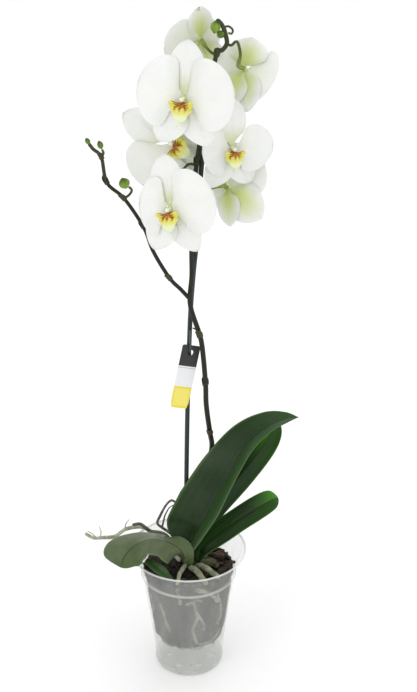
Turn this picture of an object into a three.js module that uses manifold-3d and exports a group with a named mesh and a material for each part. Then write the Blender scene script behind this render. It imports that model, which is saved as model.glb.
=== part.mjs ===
// A moth orchid in bloom in a clear plastic pot.
// Millimetres, +Z up. The origin is the centre of the pot's flat bottom.
// The viewer who sees the flowers from the front stands on the -Y side.
import * as THREE from 'three';
import { mergeVertices } from 'three/addons/utils/BufferGeometryUtils.js';
import Module from 'manifold-3d';

const wasm = await Module();
wasm.setup();

// ---------------------------------------------------------------- driving dimensions

const FIT_GAP = 0.3; // clearance between pieces that touch

const POT = {
  height: 140,
  rimRadius: 60,
  lip: 1.4,
  wall: 1.4,
  floor: 2,
  bottomRadius: 33,
  drainRadius: 3.5,
  drainCircle: 22,
  drains: 6,
  facets: 40,
};

// Outer wall of the pot from the foot to the rim: [radius, height].
const POT_WALL = [
  [36.4, 8], [36.9, 22], [42.1, 62], [48.2, 110], [49.4, 112.4], [50.4, 118], [55, 132],
  [POT.rimRadius, POT.height - 1],
];

const SOIL = { bottom: 38, top: 116, mound: 1, moundRadius: 35 };
const CROWN = { radius: 6, bottom: 117.3, top: 131.5 };

const STAKE = { radius: 2.4, sides: 8, steps: 18 };
const STEM = { radius: 2.7, branchRadius: 1.9, pedicelRadius: 1.4, sides: 7 };
const LEAF_THICKNESS = 2.4;
const TEPAL_THICKNESS = 1;
const TAG = {
  width: 18.4, length: 66, thickness: 0.7, holeRadius: 3, holeDrop: 7.6, hangs: [3, 21.5, 354.5],
};
const COLUMN = { radius: 2.4, length: 8, neck: 13 };

// ---------------------------------------------------------------- materials

const finish = (color, roughness) => new THREE.MeshStandardMaterial({ color, roughness, metalness: 0 });

const FINISH = {
  pot: finish('#c6cac4', 0.35),
  soil: finish('#2a2017', 0.95),
  leaf: finish('#2c4a26', 0.4),
  stem: finish('#39402a', 0.6),
  stake: finish('#16292c', 0.5),
  clip: finish('#3c4a38', 0.4),
  root: finish('#84866f', 0.8),
  petal: finish('#f4f4ee', 0.55),
  lip: finish('#eadf57', 0.5),
  tag: finish('#e2e4e6', 0.5),
};

// ---------------------------------------------------------------- small helpers

const vec = (p) => new THREE.Vector3(...p);
const rad = THREE.MathUtils.degToRad;
const mix = THREE.MathUtils.lerp;
const ease = (x) => THREE.MathUtils.smoothstep(x, 0, 1);
const curveThrough = (points) => new THREE.CatmullRomCurve3(points.map(vec), false, 'catmullrom', 0.5);

// A closed geometry becomes a solid that can be joined or cut.
function toSolid(geometry) {
  const bare = geometry.index ? geometry.toNonIndexed() : geometry.clone();
  bare.deleteAttribute('normal');
  bare.deleteAttribute('uv');
  const merged = mergeVertices(bare, 1e-4);
  return new wasm.Manifold(new wasm.Mesh({
    numProp: 3,
    vertProperties: new Float32Array(merged.attributes.position.array),
    triVerts: new Uint32Array(merged.index.array),
  }));
}

function toGeometry(solid) {
  const mesh = solid.getMesh();
  const geometry = new THREE.BufferGeometry();
  geometry.setAttribute('position', new THREE.BufferAttribute(new Float32Array(mesh.vertProperties), 3));
  geometry.setIndex(new THREE.BufferAttribute(new Uint32Array(mesh.triVerts), 1));
  geometry.computeVertexNormals();
  return geometry;
}

const join = (geometries) => geometries.map(toSolid).reduce((whole, piece) => whole.add(piece));

function named(name, geometry, material) {
  const mesh = new THREE.Mesh(geometry, material);
  mesh.name = name;
  return mesh;
}

// A round bar of one thickness along a smooth line.
function bar(points, radius, sides, steps) {
  const section = new THREE.Shape();
  for (let i = 0; i < sides; i += 1) {
    const angle = (2 * Math.PI * i) / sides;
    const place = [radius * Math.cos(angle), radius * Math.sin(angle)];
    if (i === 0) section.moveTo(...place);
    else section.lineTo(...place);
  }
  section.closePath();
  return new THREE.ExtrudeGeometry(section, { steps, extrudePath: curveThrough(points) });
}

function ball(center, radii, segments = 10) {
  const geometry = new THREE.SphereGeometry(1, segments, Math.max(6, segments - 2));
  geometry.scale(...radii);
  geometry.translate(...center);
  return geometry;
}

// An egg-shaped bud whose long axis points along `axis`.
function egg(center, axis, length, width) {
  const geometry = new THREE.SphereGeometry(1, 10, 7);
  geometry.scale(width / 2, length / 2, width / 2);
  geometry.applyQuaternion(new THREE.Quaternion().setFromUnitVectors(
    new THREE.Vector3(0, 1, 0),
    vec(axis).normalize(),
  ));
  geometry.translate(...center);
  return geometry;
}

// ---------------------------------------------------------------- blades

// A thin closed shell that is thickest inside and comes to an edge all round.
// `surface(s, t)` gives the middle surface: s runs 0..1 from base to tip, t -1..1 across.
// The tip is one point, and `thickness` is the full thickness inside.
function blade(surface, rows, columns, thickness) {
  const place = (i, j) => surface(i / rows, (2 * j) / columns - 1);
  const positions = [];
  const faces = [];
  const front = [];
  const back = [];
  const push = (p) => positions.push(p.x, p.y, p.z) / 3 - 1;

  for (let i = 0; i < rows; i += 1) {
    front.push([]);
    back.push([]);
    for (let j = 0; j <= columns; j += 1) {
      const middle = place(i, j);
      if (i === 0 || j === 0 || j === columns) {
        const edge = push(middle);
        front[i].push(edge);
        back[i].push(edge);
        continue;
      }
      const along = place(i + 1, j).sub(place(i - 1, j));
      const across = place(i, j + 1).sub(place(i, j - 1));
      const normal = along.cross(across).normalize().multiplyScalar(thickness / 2);
      front[i].push(push(middle.clone().add(normal)));
      back[i].push(push(middle.clone().sub(normal)));
    }
  }
  const tip = push(surface(1, 0));

  for (let j = 0; j < columns; j += 1) {
    for (let i = 0; i < rows - 1; i += 1) {
      const [a, b, c, d] = [front[i][j], front[i + 1][j], front[i + 1][j + 1], front[i][j + 1]];
      faces.push(a, b, c, a, c, d);
      const [e, f, g, h] = [back[i][j], back[i + 1][j], back[i + 1][j + 1], back[i][j + 1]];
      faces.push(e, g, f, e, h, g);
    }
    const last = rows - 1;
    faces.push(front[last][j], tip, front[last][j + 1]);
    faces.push(back[last][j], back[last][j + 1], tip);
  }
  // A triangle that uses one corner twice has no area and is left out.
  const solidFaces = [];
  for (let k = 0; k < faces.length; k += 3) {
    const triangle = faces.slice(k, k + 3);
    if (new Set(triangle).size === 3) solidFaces.push(...triangle);
  }
  const geometry = new THREE.BufferGeometry();
  geometry.setAttribute('position', new THREE.Float32BufferAttribute(positions, 3));
  geometry.setIndex(solidFaces);
  geometry.computeVertexNormals();
  return geometry;
}

// ---------------------------------------------------------------- pot and soil

function lathe(profile, facets) {
  const geometry = new THREE.LatheGeometry(profile.map(([r, z]) => new THREE.Vector2(r, z)), facets);
  geometry.rotateX(Math.PI / 2);
  return geometry;
}

const potRadiusAt = (z) => {
  const upper = POT_WALL.findIndex(([, height]) => height >= z);
  const [r0, z0] = POT_WALL[upper - 1];
  const [r1, z1] = POT_WALL[upper];
  return mix(r0, r1, (z - z0) / (z1 - z0));
};

function makePot() {
  const outside = [[0, 0], [POT.bottomRadius, 0], [35.2, 1.2], [36.2, 3.6], ...POT_WALL];
  const lip = [[POT.rimRadius, POT.height], [POT.rimRadius - POT.lip, POT.height]];
  const inside = POT_WALL.slice(0, -1).reverse().map(([r, z]) => [r - POT.wall, z]);
  const floor = [[34.2, POT.floor + 1.4], [32.4, POT.floor], [0, POT.floor]];
  let shell = toSolid(lathe([...outside, ...lip, ...inside, ...floor], POT.facets));
  for (let i = 0; i < POT.drains; i += 1) {
    const angle = (2 * Math.PI * i) / POT.drains;
    const drill = new THREE.CylinderGeometry(POT.drainRadius, POT.drainRadius, 3 * POT.floor, 12);
    drill.rotateX(Math.PI / 2);
    drill.translate(POT.drainCircle * Math.cos(angle), POT.drainCircle * Math.sin(angle), POT.floor / 2);
    shell = shell.subtract(toSolid(drill));
  }
  return named('pot', toGeometry(shell), FINISH.pot);
}

// The root ball of bark and moss is wedged in the tapered wall, clear of the floor.
// The stake stands in a socket in it.
function makeSoil() {
  const levels = [SOIL.bottom, ...POT_WALL.map(([, z]) => z), SOIL.top]
    .filter((z) => z >= SOIL.bottom && z <= SOIL.top)
    .sort((lower, upper) => lower - upper);
  const side = levels.map((z) => [potRadiusAt(z) - POT.wall - FIT_GAP, z]);
  const bottom = [[0, SOIL.bottom + 3], [side[0][0] * 0.6, SOIL.bottom + 1]];
  const top = [[SOIL.moundRadius, SOIL.top + SOIL.mound], [0, SOIL.top + SOIL.mound]];
  const block = lathe([...bottom, ...side, ...top], POT.facets);
  const socket = bar(STAKE_LINE, STAKE.radius + 2 * FIT_GAP, STAKE.sides, STAKE.steps);
  socket.translate(0, 0, -FIT_GAP);
  return named('bark_and_soil', toGeometry(toSolid(block).subtract(toSolid(socket))), FINISH.soil);
}

// ---------------------------------------------------------------- leaves

// midrib: points from the crown to the tip; up: where the upper face looks along it;
// width: the widest half; fold: how far the halves rise from flat, at base and tip;
// skew: how much wider the t = 1 half is than the other, at base and tip.
const PLAIN_LEAF = { skew: [0, 0], bow: 0, point: [2, 0.5] };
const LEAVES = {
  leaf_large: {
    midrib: [[0.5, 3, 132.6], [4.5, 0.5, 147], [12, 0, 164], [25, 6, 186], [43, 18, 219], [62, 34, 244],
      [83, 47, 257], [103, 58, 260], [116, 65, 259]],
    up: [[-0.6, -0.5, 0.5], [-0.6, -0.58, 0.5], [-0.35, -0.55, 0.8]],
    width: 33, fold: [46, 20], base: 0.35, widest: 0.2, taper: 0.36, point: [1.15, 1],
    skew: [-0.08, -0.36], bow: 0.1,
  },
  leaf_back: {
    midrib: [[10, 4, 127], [16, 16, 147], [32, 34, 172], [58, 47, 203], [81, 58, 232], [94, 70, 252]],
    up: [[-0.5, -0.7, 0.5], [-0.4, -0.6, 0.7]],
    width: 19, fold: [30, 6], base: 0.25, widest: 0.6, taper: 0.62, point: [2.2, 0.5],
  },
  leaf_right: {
    midrib: [[10.8, -4.4, 127.2], [16, -2, 140], [38, 2, 158], [62, 8, 174], [84, 12, 188], [93, 14, 192]],
    up: [[-0.5, -0.6, 0.7], [-0.3, -0.5, 0.9]],
    width: 14.8, fold: [26, 6], base: 0.4, widest: 0.45, taper: 0.62,
  },
  leaf_left: {
    midrib: [[-5.5, -4.9, 126], [-4.4, -20, 137], [-3.6, -29, 149], [-10, -32, 160.5], [-24, -28.5, 165.5],
      [-40, -24.5, 164.5], [-55, -27, 158], [-64, -33, 150], [-68.5, -39, 142]],
    up: [[-0.5, -0.8, 0.1], [-0.45, -0.85, -0.1], [-0.3, -0.85, 0.2], [0.1, -0.55, 0.8], [0, 0.1, 1],
      [0, 0.1, 1], [-0.2, -0.1, 0.95], [-0.3, -0.4, 0.8], [-0.3, -0.6, 0.7]],
    width: 27, fold: [-25, 6], base: 0.14, widest: 0.92, taper: 0.78, skew: [-0.36, 0.3], bow: 0.1,
  },
  leaf_small: {
    midrib: [[-16, -30, 117.6], [-24, -34, 130], [-34, -33, 139], [-43, -28, 143]],
    up: [[0.3, -0.4, 0.9], [0.3, -0.5, 0.8]],
    width: 6, fold: [20, 8], base: 0.5, widest: 0.45, taper: 0.5,
  },
};

function leafHalfWidth(leaf, s) {
  const swell = mix(leaf.base, 1, Math.sin((Math.min(s / leaf.widest, 1) * Math.PI) / 2) ** 1.2);
  const past = Math.max((s - leaf.taper) / (1 - leaf.taper), 0);
  return leaf.width * swell * Math.max(1 - past ** leaf.point[0], 0) ** leaf.point[1];
}

function leafSurface(leaf) {
  const midrib = curveThrough(leaf.midrib);
  const upAt = (s) => {
    const k = s * (leaf.up.length - 1);
    const i = Math.min(Math.floor(k), leaf.up.length - 2);
    return vec(leaf.up[i]).lerp(vec(leaf.up[i + 1]), k - i);
  };
  return (s, t) => {
    const along = midrib.getTangent(s);
    const up = upAt(s);
    up.addScaledVector(along, -up.dot(along)).normalize();
    const side = new THREE.Vector3().crossVectors(along, up);
    const width = leafHalfWidth(leaf, s) * (1 + mix(...leaf.skew, s) * t);
    const fold = rad(mix(leaf.fold[0], leaf.fold[1], s));
    return midrib.getPoint(s)
      .addScaledVector(side, width * t * Math.cos(fold))
      .addScaledVector(up, width * (Math.abs(t) * Math.sin(fold) - leaf.bow * t * t));
  };
}

const makeLeaf = (name) => named(
  name,
  blade(leafSurface({ ...PLAIN_LEAF, ...LEAVES[name] }), 16, 6, LEAF_THICKNESS),
  FINISH.leaf,
);

// ---------------------------------------------------------------- flowers

// Shape of each tepal: angle of its midline round the flower, length, half width, where it is
// widest, roundness, width of the claw, level in front of or behind the ring, and tilt forwards.
const SEPAL = { length: 43, width: 15.5, widest: 0.45, round: 0.6, claw: 0.2, sweep: 6 };
const PETAL = { length: 41, width: 31, widest: 0.44, round: 0.45, claw: 0.12, level: 1.3, sweep: 6 };
const TEPALS = {
  dorsal_sepal: { ...SEPAL, angle: 90, length: 46, width: 16, widest: 0.52, level: -1.2, sweep: 5 },
  left_sepal: { ...SEPAL, angle: 240, level: -0.9 },
  right_sepal: { ...SEPAL, angle: 300, level: -2.7 },
  left_petal: { ...PETAL, angle: 167 },
  right_petal: { ...PETAL, angle: 13 },
};
const TEPAL = { ring: 3.1, halfClaw: 1.2, clawEnd: 0.27, cup: 1.4, reach: 45, rootLevel: 0.5 };

// face: where the flower looks; roll: turn about that direction, degrees.
// stalk: points from the spike to the back of the flower.
const FLOWERS = {
  flower_1: {
    place: [0, -42, 623], face: [-0.28, -1, 0.08], size: 1, roll: -2,
    stalk: [[19.5, 14, 598], [16, 2, 606], [8, -14, 618]],
    shape: {},
  },
  flower_2: {
    place: [14, 22, 661], face: [-0.35, 0.85, 0.35], size: 0.9, roll: 0,
    stalk: [[28, 10, 650], [24, 7, 652]],
    shape: {
      left_petal: { angle: 162, tilt: 6, length: 19, width: 19 },
      right_petal: { angle: -8, length: 36, width: 27 },
      dorsal_sepal: { angle: 78, length: 36, width: 12.5 },
      left_sepal: { length: 34 },
      right_sepal: { length: 34 },
    },
  },
  flower_3: {
    place: [53, 16.5, 636], face: [0.45, 0.8, -0.4], size: 0.95, roll: 0,
    stalk: [[37, 6, 660], [41, 5, 659], [46, 6, 662], [49, 4.5, 651]],
    shape: {
      left_petal: { angle: 213, length: 31, width: 31, claw: 0.6, widest: 0.4 },
      right_petal: { angle: 12, length: 26, width: 22 },
      dorsal_sepal: { angle: 96, length: 26, width: 21, claw: 0.6, widest: 0.46 },
      left_sepal: { angle: 250, length: 39.5 },
      right_sepal: { angle: 288, length: 40 },
    },
  },
  flower_4: {
    place: [-13, 24, 567], face: [0, -1, -0.05], size: 1.04, roll: 60,
    stalk: [[16, 17, 586], [17, 30, 588], [9, 44, 582]],
    shape: {
      left_petal: { angle: 181, length: 47 },
      right_petal: { angle: 25, width: 26 },
    },
  },
  flower_5: {
    place: [-13, -40, 524], face: [-0.35, -0.93, 0.05], size: 0.98, roll: 10,
    stalk: [[9, 16, 548], [1, 9, 549], [-10, -8, 536]],
    shape: {
      left_petal: { length: 28, width: 27 },
      left_sepal: { angle: 236 },
      right_sepal: { angle: 292 },
    },
  },
  flower_6: {
    place: [42, -16, 572.6], face: [0.35, -0.93, 0], size: 0.9, roll: 0,
    stalk: [[15, 16, 571], [22, 15, 576], [32, 11, 575]],
    shape: {
      left_petal: { angle: 184, width: 26, length: 28 },
      right_petal: { angle: -6, width: 24, length: 43 },
    },
  },
  flower_7: {
    place: [38.5, 10, 527.5], face: [0.4, 0.75, -0.4], size: 0.98, roll: -46,
    stalk: [[8, 16, 522], [14, 7, 524], [23, -2, 531]],
    shape: {
      left_sepal: { angle: 253, width: 18.5, length: 47 },
      right_sepal: { angle: 294, width: 11.5, length: 35 },
      right_petal: { width: 17, length: 17 },
      dorsal_sepal: { width: 13, length: 26 },
    },
  },
};

// The flower's own frame: x to the viewer's right, y up the dorsal sepal, z out of the face.
function flowerMatrix(flower) {
  const face = vec(flower.face).normalize();
  const up = new THREE.Vector3(0, 0, 1);
  up.addScaledVector(face, -up.dot(face)).normalize();
  up.applyAxisAngle(face, rad(flower.roll));
  const right = new THREE.Vector3().crossVectors(up, face);
  return new THREE.Matrix4()
    .makeBasis(right, up, face)
    .scale(new THREE.Vector3(flower.size, flower.size, flower.size))
    .setPosition(vec(flower.place));
}

function tepalHalfWidth(tepal, s) {
  const stretch = s ** (Math.log(0.5) / Math.log(tepal.widest));
  const outline = s > 0 && s < 1 ? Math.sin(Math.PI * stretch) ** tepal.round : 0;
  const opening = mix(tepal.claw, 1, ease(s / TEPAL.clawEnd));
  return tepal.width * outline * opening + TEPAL.halfClaw * (1 - ease(s / 0.3)) * (1 - s);
}

function tepalSurface(tepal) {
  const angle = rad(tepal.angle);
  const tilt = rad(tepal.tilt ?? 0);
  const out = new THREE.Vector3(Math.cos(angle), Math.sin(angle), 0);
  const across = new THREE.Vector3(-Math.sin(angle), Math.cos(angle), 0);
  const face = new THREE.Vector3(0, 0, 1);
  const along = out.clone().multiplyScalar(Math.cos(tilt)).addScaledVector(face, Math.sin(tilt));
  const normal = face.clone().multiplyScalar(Math.cos(tilt)).addScaledVector(out, -Math.sin(tilt));
  return (s, t) => {
    const x = TEPAL.ring + tepal.length * s;
    const y = tepalHalfWidth(tepal, s) * t;
    const sweep = (tepal.sweep * (x * x + y * y)) / TEPAL.reach ** 2;
    const cup = (TEPAL.cup * (1 - Math.cos(Math.PI * s)) * t * t) / 2;
    const height = tepal.level * mix(TEPAL.rootLevel, 1, ease(s / 0.14)) - sweep + cup;
    return out.clone().multiplyScalar(TEPAL.ring)
      .addScaledVector(along, tepal.length * s)
      .addScaledVector(across, y)
      .addScaledVector(normal, height);
  };
}

// The lip: a tongue that runs down and forwards, two side lobes that rise beside
// the column, and the fleshy callus between them.
function lipGeometry() {
  const tongueLine = curveThrough([[0, -2.9, 1.4], [0, -5, 6], [0, -10, 10.5], [0, -16, 11], [0, -20, 8]]);
  const tongue = (s, t) => {
    const width = 2 + 5.4 * Math.sin(Math.PI * Math.min(s, 1)) ** 0.8 - 2 * s ** 3;
    const point = tongueLine.getPoint(s);
    return point.add(new THREE.Vector3(t * (s < 1 ? width : 0), 0, -2 * t * t * Math.sin(Math.PI * s)));
  };
  const lobe = (sign) => (s, t) => {
    const width = 6.2 * Math.sin(Math.PI * mix(0.12, 1, s)) ** 0.6;
    return new THREE.Vector3(
      sign * (1.2 + 11 * s),
      -5.5 + 5.5 * s * s + 2.5 * s,
      6.2 + width * (s < 1 ? t : 0) + 3.5 * s,
    );
  };
  const parts = [
    blade(tongue, 5, 4, 1.4),
    blade(lobe(1), 4, 4, 1.2),
    blade(lobe(-1), 4, 4, 1.2),
    ball([0, -4.8, 6.6], [2.6, 1.7, 2.6], 6),
  ];
  return toGeometry(join(parts.map((part) => outward(part))));
}

// Turns a closed geometry so that its faces point out.
function outward(geometry) {
  if (toSolid(geometry).volume() >= 0) return geometry;
  const index = geometry.index.array;
  for (let k = 0; k < index.length; k += 3) [index[k + 1], index[k + 2]] = [index[k + 2], index[k + 1]];
  return geometry;
}

function makeFlower(name) {
  const flower = FLOWERS[name];
  const group = new THREE.Group();
  flowerMatrix(flower).decompose(group.position, group.quaternion, group.scale);
  for (const [part, plain] of Object.entries(TEPALS)) {
    const tepal = { ...plain, ...flower.shape[part] };
    const geometry = outward(blade(tepalSurface(tepal), 6, 6, TEPAL_THICKNESS));
    group.add(named(`${name}_${part}`, geometry, FINISH.petal));
  }
  group.add(named(`${name}_lip`, lipGeometry(), FINISH.lip));
  return group;
}

// The stalk of a flower, its ovary and the column, in one smooth line.
function stalkGeometries(flower) {
  const matrix = flowerMatrix(flower);
  const axisPoint = (z) => new THREE.Vector3(0, 0, z).applyMatrix4(matrix).toArray();
  const stalk = [...flower.stalk, axisPoint(-COLUMN.neck), axisPoint(-3), axisPoint(0)];
  const column = [axisPoint(-COLUMN.neck), axisPoint(-3), axisPoint(COLUMN.length)];
  return [
    bar(stalk, STEM.pedicelRadius, 6, 9),
    bar(column, COLUMN.radius * flower.size, 8, 2),
  ];
}

// ---------------------------------------------------------------- spike and branch

const SPIKE_LINE = [
  [3, 8.7, 119], [2, 14, 145], [9, 26, 178], [18, 38, 206], [23.6, 44, 228], [24.6, 43, 240],
  [22.5, 32, 259.5], [18.8, 17.5, 298], [18, 14.5, 324], [15, 14, 362], [12, 15, 378], [5, 17, 400],
  [3, 18, 414], [5, 19, 437], [5, 19, 463], [6, 17, 500], [9, 16, 541], [15, 16, 579], [22, 13, 615],
  [28, 10, 650], [33, 8, 654], [37, 6, 660], [36, 3, 668], [33, -1, 677], [28, -4, 683],
];
const SPIKE_NODES = [[22.5, 32, 259.5], [18, 14.5, 324], [13, 15, 376], [9, 16, 548], [28, 10, 650]];
const TOP_BUDS = [
  { at: [27, -4, 676.5], axis: [0.2, 0.1, 1], length: 12, width: 9 },
  { at: [31.5, 0, 669.5], axis: [0.6, 0.2, -0.5], length: 8.5, width: 7 },
];
const TOP_CURL = [[34, 0, 675], [38, 2, 676], [42, 2, 673], [41, 2, 669.5], [38, 2, 670.5]];

const BRANCH_LINE = [
  [-1.6, 17.6, 418], [-6, 17, 424], [-16, 15, 436], [-31, 12, 464], [-40, 10, 490], [-57, 8, 518],
  [-72, 5, 534], [-76, 2, 559], [-83, 0, 567], [-87, -1, 573],
];
const BRANCH_NODES = [[-16, 15, 436], [-40, 10, 490], [-57, 8, 518], [-72, 5, 534], [-76, 2, 559]];
const BRANCH_TWIGS = [
  [[-57, 8, 518], [-52, 7, 522], [-49.5, 5, 527], [-52, 3, 531]],
  [[-76, 2, 559], [-74, 1, 563], [-75, 0, 567]],
];
const BRANCH_BUDS = [
  { at: [-56, 2, 534.5], axis: [-0.3, -0.2, 0.8], length: 12, width: 10.4 },
  { at: [-76.5, 0, 571], axis: [-0.3, 0, 1], length: 8.5, width: 5.6 },
  { at: [-87.5, -2, 575], axis: [-0.5, 0, 1], length: 7, width: 4.6 },
];

const budGeometries = (buds) => buds.map((bud) => egg(bud.at, bud.axis, bud.length, bud.width));
const nodeGeometries = (places, radius) => places.map((at) => ball(at, [radius, radius, radius * 0.8], 7));

function makeSpike() {
  const pieces = [
    bar(SPIKE_LINE, STEM.radius, STEM.sides, 64),
    bar(TOP_CURL, 1, 5, 9),
    ...nodeGeometries(SPIKE_NODES, STEM.radius + 0.9),
    ...budGeometries(TOP_BUDS),
    ...Object.values(FLOWERS).flatMap(stalkGeometries),
  ];
  return named('flower_spike', toGeometry(join(pieces)), FINISH.stem);
}

function makeBranch() {
  const pieces = [
    bar(BRANCH_LINE, STEM.branchRadius, STEM.sides, 26),
    ...BRANCH_TWIGS.map((line) => bar(line, 1.2, 6, 5)),
    ...nodeGeometries(BRANCH_NODES, STEM.branchRadius + 0.7),
    ...budGeometries(BRANCH_BUDS),
  ];
  return named('side_branch', toGeometry(join(pieces)), FINISH.stem);
}

// ---------------------------------------------------------------- stake, clip and tag

const STAKE_LINE = [
  [-4, 23, 70], [-3, 25.5, 130], [-2, 27.5, 208], [0, 26, 300], [3, 25, 388], [6.5, 25.4, 437],
  [9, 24, 463], [11.4, 22, 500], [14.2, 20.8, 541], [18, 20.4, 578],
];

const makeStake = () => named('stake', bar(STAKE_LINE, STAKE.radius, STAKE.sides, STAKE.steps), FINISH.stake);

// A sprung wire clip: one ring round the stake and one round the spike, in one loop.
function makeClip() {
  const loop = (center, radius, level) => {
    const ring = new THREE.TorusGeometry(radius, 0.8, 5, 12);
    ring.translate(center[0], center[1], level);
    return ring;
  };
  const link = bar([[5.6, 26.2, 379], [8.6, 22.6, 379], [9.6, 19.2, 379]], 0.8, 6, 4);
  const hook = bar([[2.7, 21.5, 379], [2.7, 19.3, 375], [2.9, 19.3, 360], [3.1, 21.6, 354.5]], 0.7, 6, 6);
  const pieces = [loop([2.7, 25.1], 3.6, 379), loop([11.6, 15.3], 4.1, 379), link, hook];
  return named('stem_clip', toGeometry(join(pieces)), FINISH.clip);
}

// The plant label is a flat strip that hangs from the stake by its hole.
function makeTag() {
  const strip = new THREE.BoxGeometry(TAG.width, TAG.length, TAG.thickness);
  strip.translate(0, TAG.holeDrop - TAG.length / 2, 0);
  const hole = new THREE.CylinderGeometry(TAG.holeRadius, TAG.holeRadius, 4 * TAG.thickness, 12);
  hole.rotateX(Math.PI / 2);
  const tag = named('plant_tag', toGeometry(toSolid(strip).subtract(toSolid(hole))), FINISH.tag);
  tag.position.set(...TAG.hangs);
  tag.rotation.set(rad(84), rad(14), rad(14), 'ZYX');
  return tag;
}

// ---------------------------------------------------------------- roots

const ROOTS = {
  root_front_left: { line: [[1.5, -9.3, 121], [9, -21, 124], [17, -34, 120.5]], radius: 3 },
  root_front_right: { line: [[7.6, -5.8, 121], [17, -14, 124], [29, -24, 120.4]], radius: 3 },
  aerial_root_left: {
    line: [[-8.3, 2, 121], [-30, 24, 132], [-48, 33, 143], [-66, 30, 143], [-78, 20, 140.5], [-90, 4, 149],
      [-98, -5, 155], [-106, -9, 163]],
    radius: 2.2,
  },
  aerial_root_back: {
    line: [[-5, 7.1, 122], [-24, 26, 137], [-40, 27, 142], [-46, 26, 147], [-52, 26, 152], [-60, 25, 151]],
    radius: 2.2,
  },
  aerial_root_loop: {
    line: [[-1.8, 7.5, 126.6], [-16, 22, 139], [-28, 26, 147], [-33, 26, 152.5], [-31, 26, 160],
      [-24, 26, 174.6], [-18, 26, 181], [-12, 25, 178]],
    radius: 1.5,
  },
};

const makeRoot = (name) => named(name, bar(ROOTS[name].line, ROOTS[name].radius, 6, 14), FINISH.root);

// ---------------------------------------------------------------- assembly

// The crown: the short fleshy stem that carries the leaves and the spike, with one young root.
function makeCrown() {
  const { radius, bottom, top } = CROWN;
  const side = [[radius - 1, bottom], [radius, bottom + 2], [radius, top - 3], [radius - 2.5, top]];
  const trunk = lathe([[0, bottom], ...side, [0, top]], 12);
  const youngRoot = bar([[-2.6, -3.6, 120.5], [-9, -22, 121], [-11, -38, 119.5]], 2.2, 6, 6);
  return named('crown', toGeometry(join([trunk, youngRoot])), FINISH.leaf);
}

const orchid = new THREE.Group();
orchid.add(makePot(), makeSoil(), makeCrown(), makeSpike(), makeBranch(), makeStake(), makeClip(), makeTag());
orchid.add(...Object.keys(LEAVES).map(makeLeaf));
orchid.add(...Object.keys(ROOTS).map(makeRoot));
orchid.add(...Object.keys(FLOWERS).map(makeFlower));

export default orchid;
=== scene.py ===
"""A moth orchid in a clear pot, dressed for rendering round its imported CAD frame.

Sizes are in millimetres until a mesh is made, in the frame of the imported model: the origin is
the centre of the pot's flat bottom, +Z is up and the flowers face -Y.
"""
import logging
import math
from collections.abc import Callable, Sequence
from dataclasses import dataclass, field
from enum import Enum

import bmesh
import bpy
import numpy as np
from mathutils import Matrix, Vector, noise


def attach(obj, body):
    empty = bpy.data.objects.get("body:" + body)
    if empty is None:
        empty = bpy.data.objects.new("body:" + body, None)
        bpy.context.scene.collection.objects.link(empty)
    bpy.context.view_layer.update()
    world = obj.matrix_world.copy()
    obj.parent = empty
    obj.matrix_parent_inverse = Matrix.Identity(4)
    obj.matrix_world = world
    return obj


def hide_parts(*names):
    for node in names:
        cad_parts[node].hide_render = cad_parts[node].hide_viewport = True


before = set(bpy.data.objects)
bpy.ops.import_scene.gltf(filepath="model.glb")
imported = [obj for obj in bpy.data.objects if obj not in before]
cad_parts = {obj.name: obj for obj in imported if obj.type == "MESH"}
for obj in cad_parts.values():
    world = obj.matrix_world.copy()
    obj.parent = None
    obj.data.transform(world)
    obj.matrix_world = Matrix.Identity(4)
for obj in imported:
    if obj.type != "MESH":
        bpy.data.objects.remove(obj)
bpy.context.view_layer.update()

LOG = logging.getLogger("orchid")
MM = 0.001
BODY = "root"
MARKS = ("along", "across", "face", "zone", "fresh")
TINY = 1e-9  # a length that is never divided by less than
SHARP = 45.0  # degrees that an edge turns by before it is drawn sharp
WELD = 2e-6  # points closer than this, in metres, become one
NUDGE = 1e-4  # share of a line to either side of where its direction is taken
LINE_SAMPLES = 60  # samples of a line for each of its points
END_RINGS = 6  # rings in the rounded end of a tube
END_LIMIT = 0.4  # share of a tube's span that a rounded end may take up
ASKEW = (0.3, 0.5, 0.81)  # a direction that no tube starts in
SEED_STRIDE = 17.3  # distance in the noise between one seed and the next

Triple = tuple[float, float, float]
Colour = tuple[float, float, float, float]


class Slot(Enum):
    """The record's material slots."""

    CLEAR_PLASTIC = "clear_plastic"
    BARK = "bark_and_moss"
    LEAF = "leaf"
    STEM = "green_stem"
    ROOT = "root_skin"
    PETAL = "petal"
    LIP = "lip"
    STAKE = "stake_coat"
    CLIP = "clip_plastic"
    TAG = "tag_card"


# ------------------------------------------------------------------ numbers and lines


def paint(code: str) -> Colour:
    """Turns a #rrggbb colour into linear red, green, blue and alpha."""
    shares = [int(code[i : i + 2], 16) / 255 for i in (1, 3, 5)]
    red, green, blue = (c / 12.92 if c <= 0.04045 else ((c + 0.055) / 1.055) ** 2.4 for c in shares)
    return red, green, blue, 1.0


def ease(x: np.ndarray) -> np.ndarray:
    """Rises smoothly from 0 to 1 as x does."""
    x = np.clip(x, 0.0, 1.0)
    return x * x * (3 - 2 * x)


def between(low: float, high: float, share: np.ndarray) -> np.ndarray:
    """Goes from low to high as share goes from 0 to 1."""
    return low + (high - low) * share


def unit(v: np.ndarray) -> np.ndarray:
    """Scales vectors to a length of 1."""
    return v / np.maximum(np.linalg.norm(v, axis=-1, keepdims=True), TINY)


def circle(count: int) -> np.ndarray:
    """Gives angles spaced evenly round a circle."""
    return np.linspace(0, 2 * math.pi, count, endpoint=False)


def polar(radius: float, angle: float, height: float) -> Triple:
    """Gives the point at a radius, an angle and a height."""
    return radius * math.cos(angle), radius * math.sin(angle), height


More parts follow.
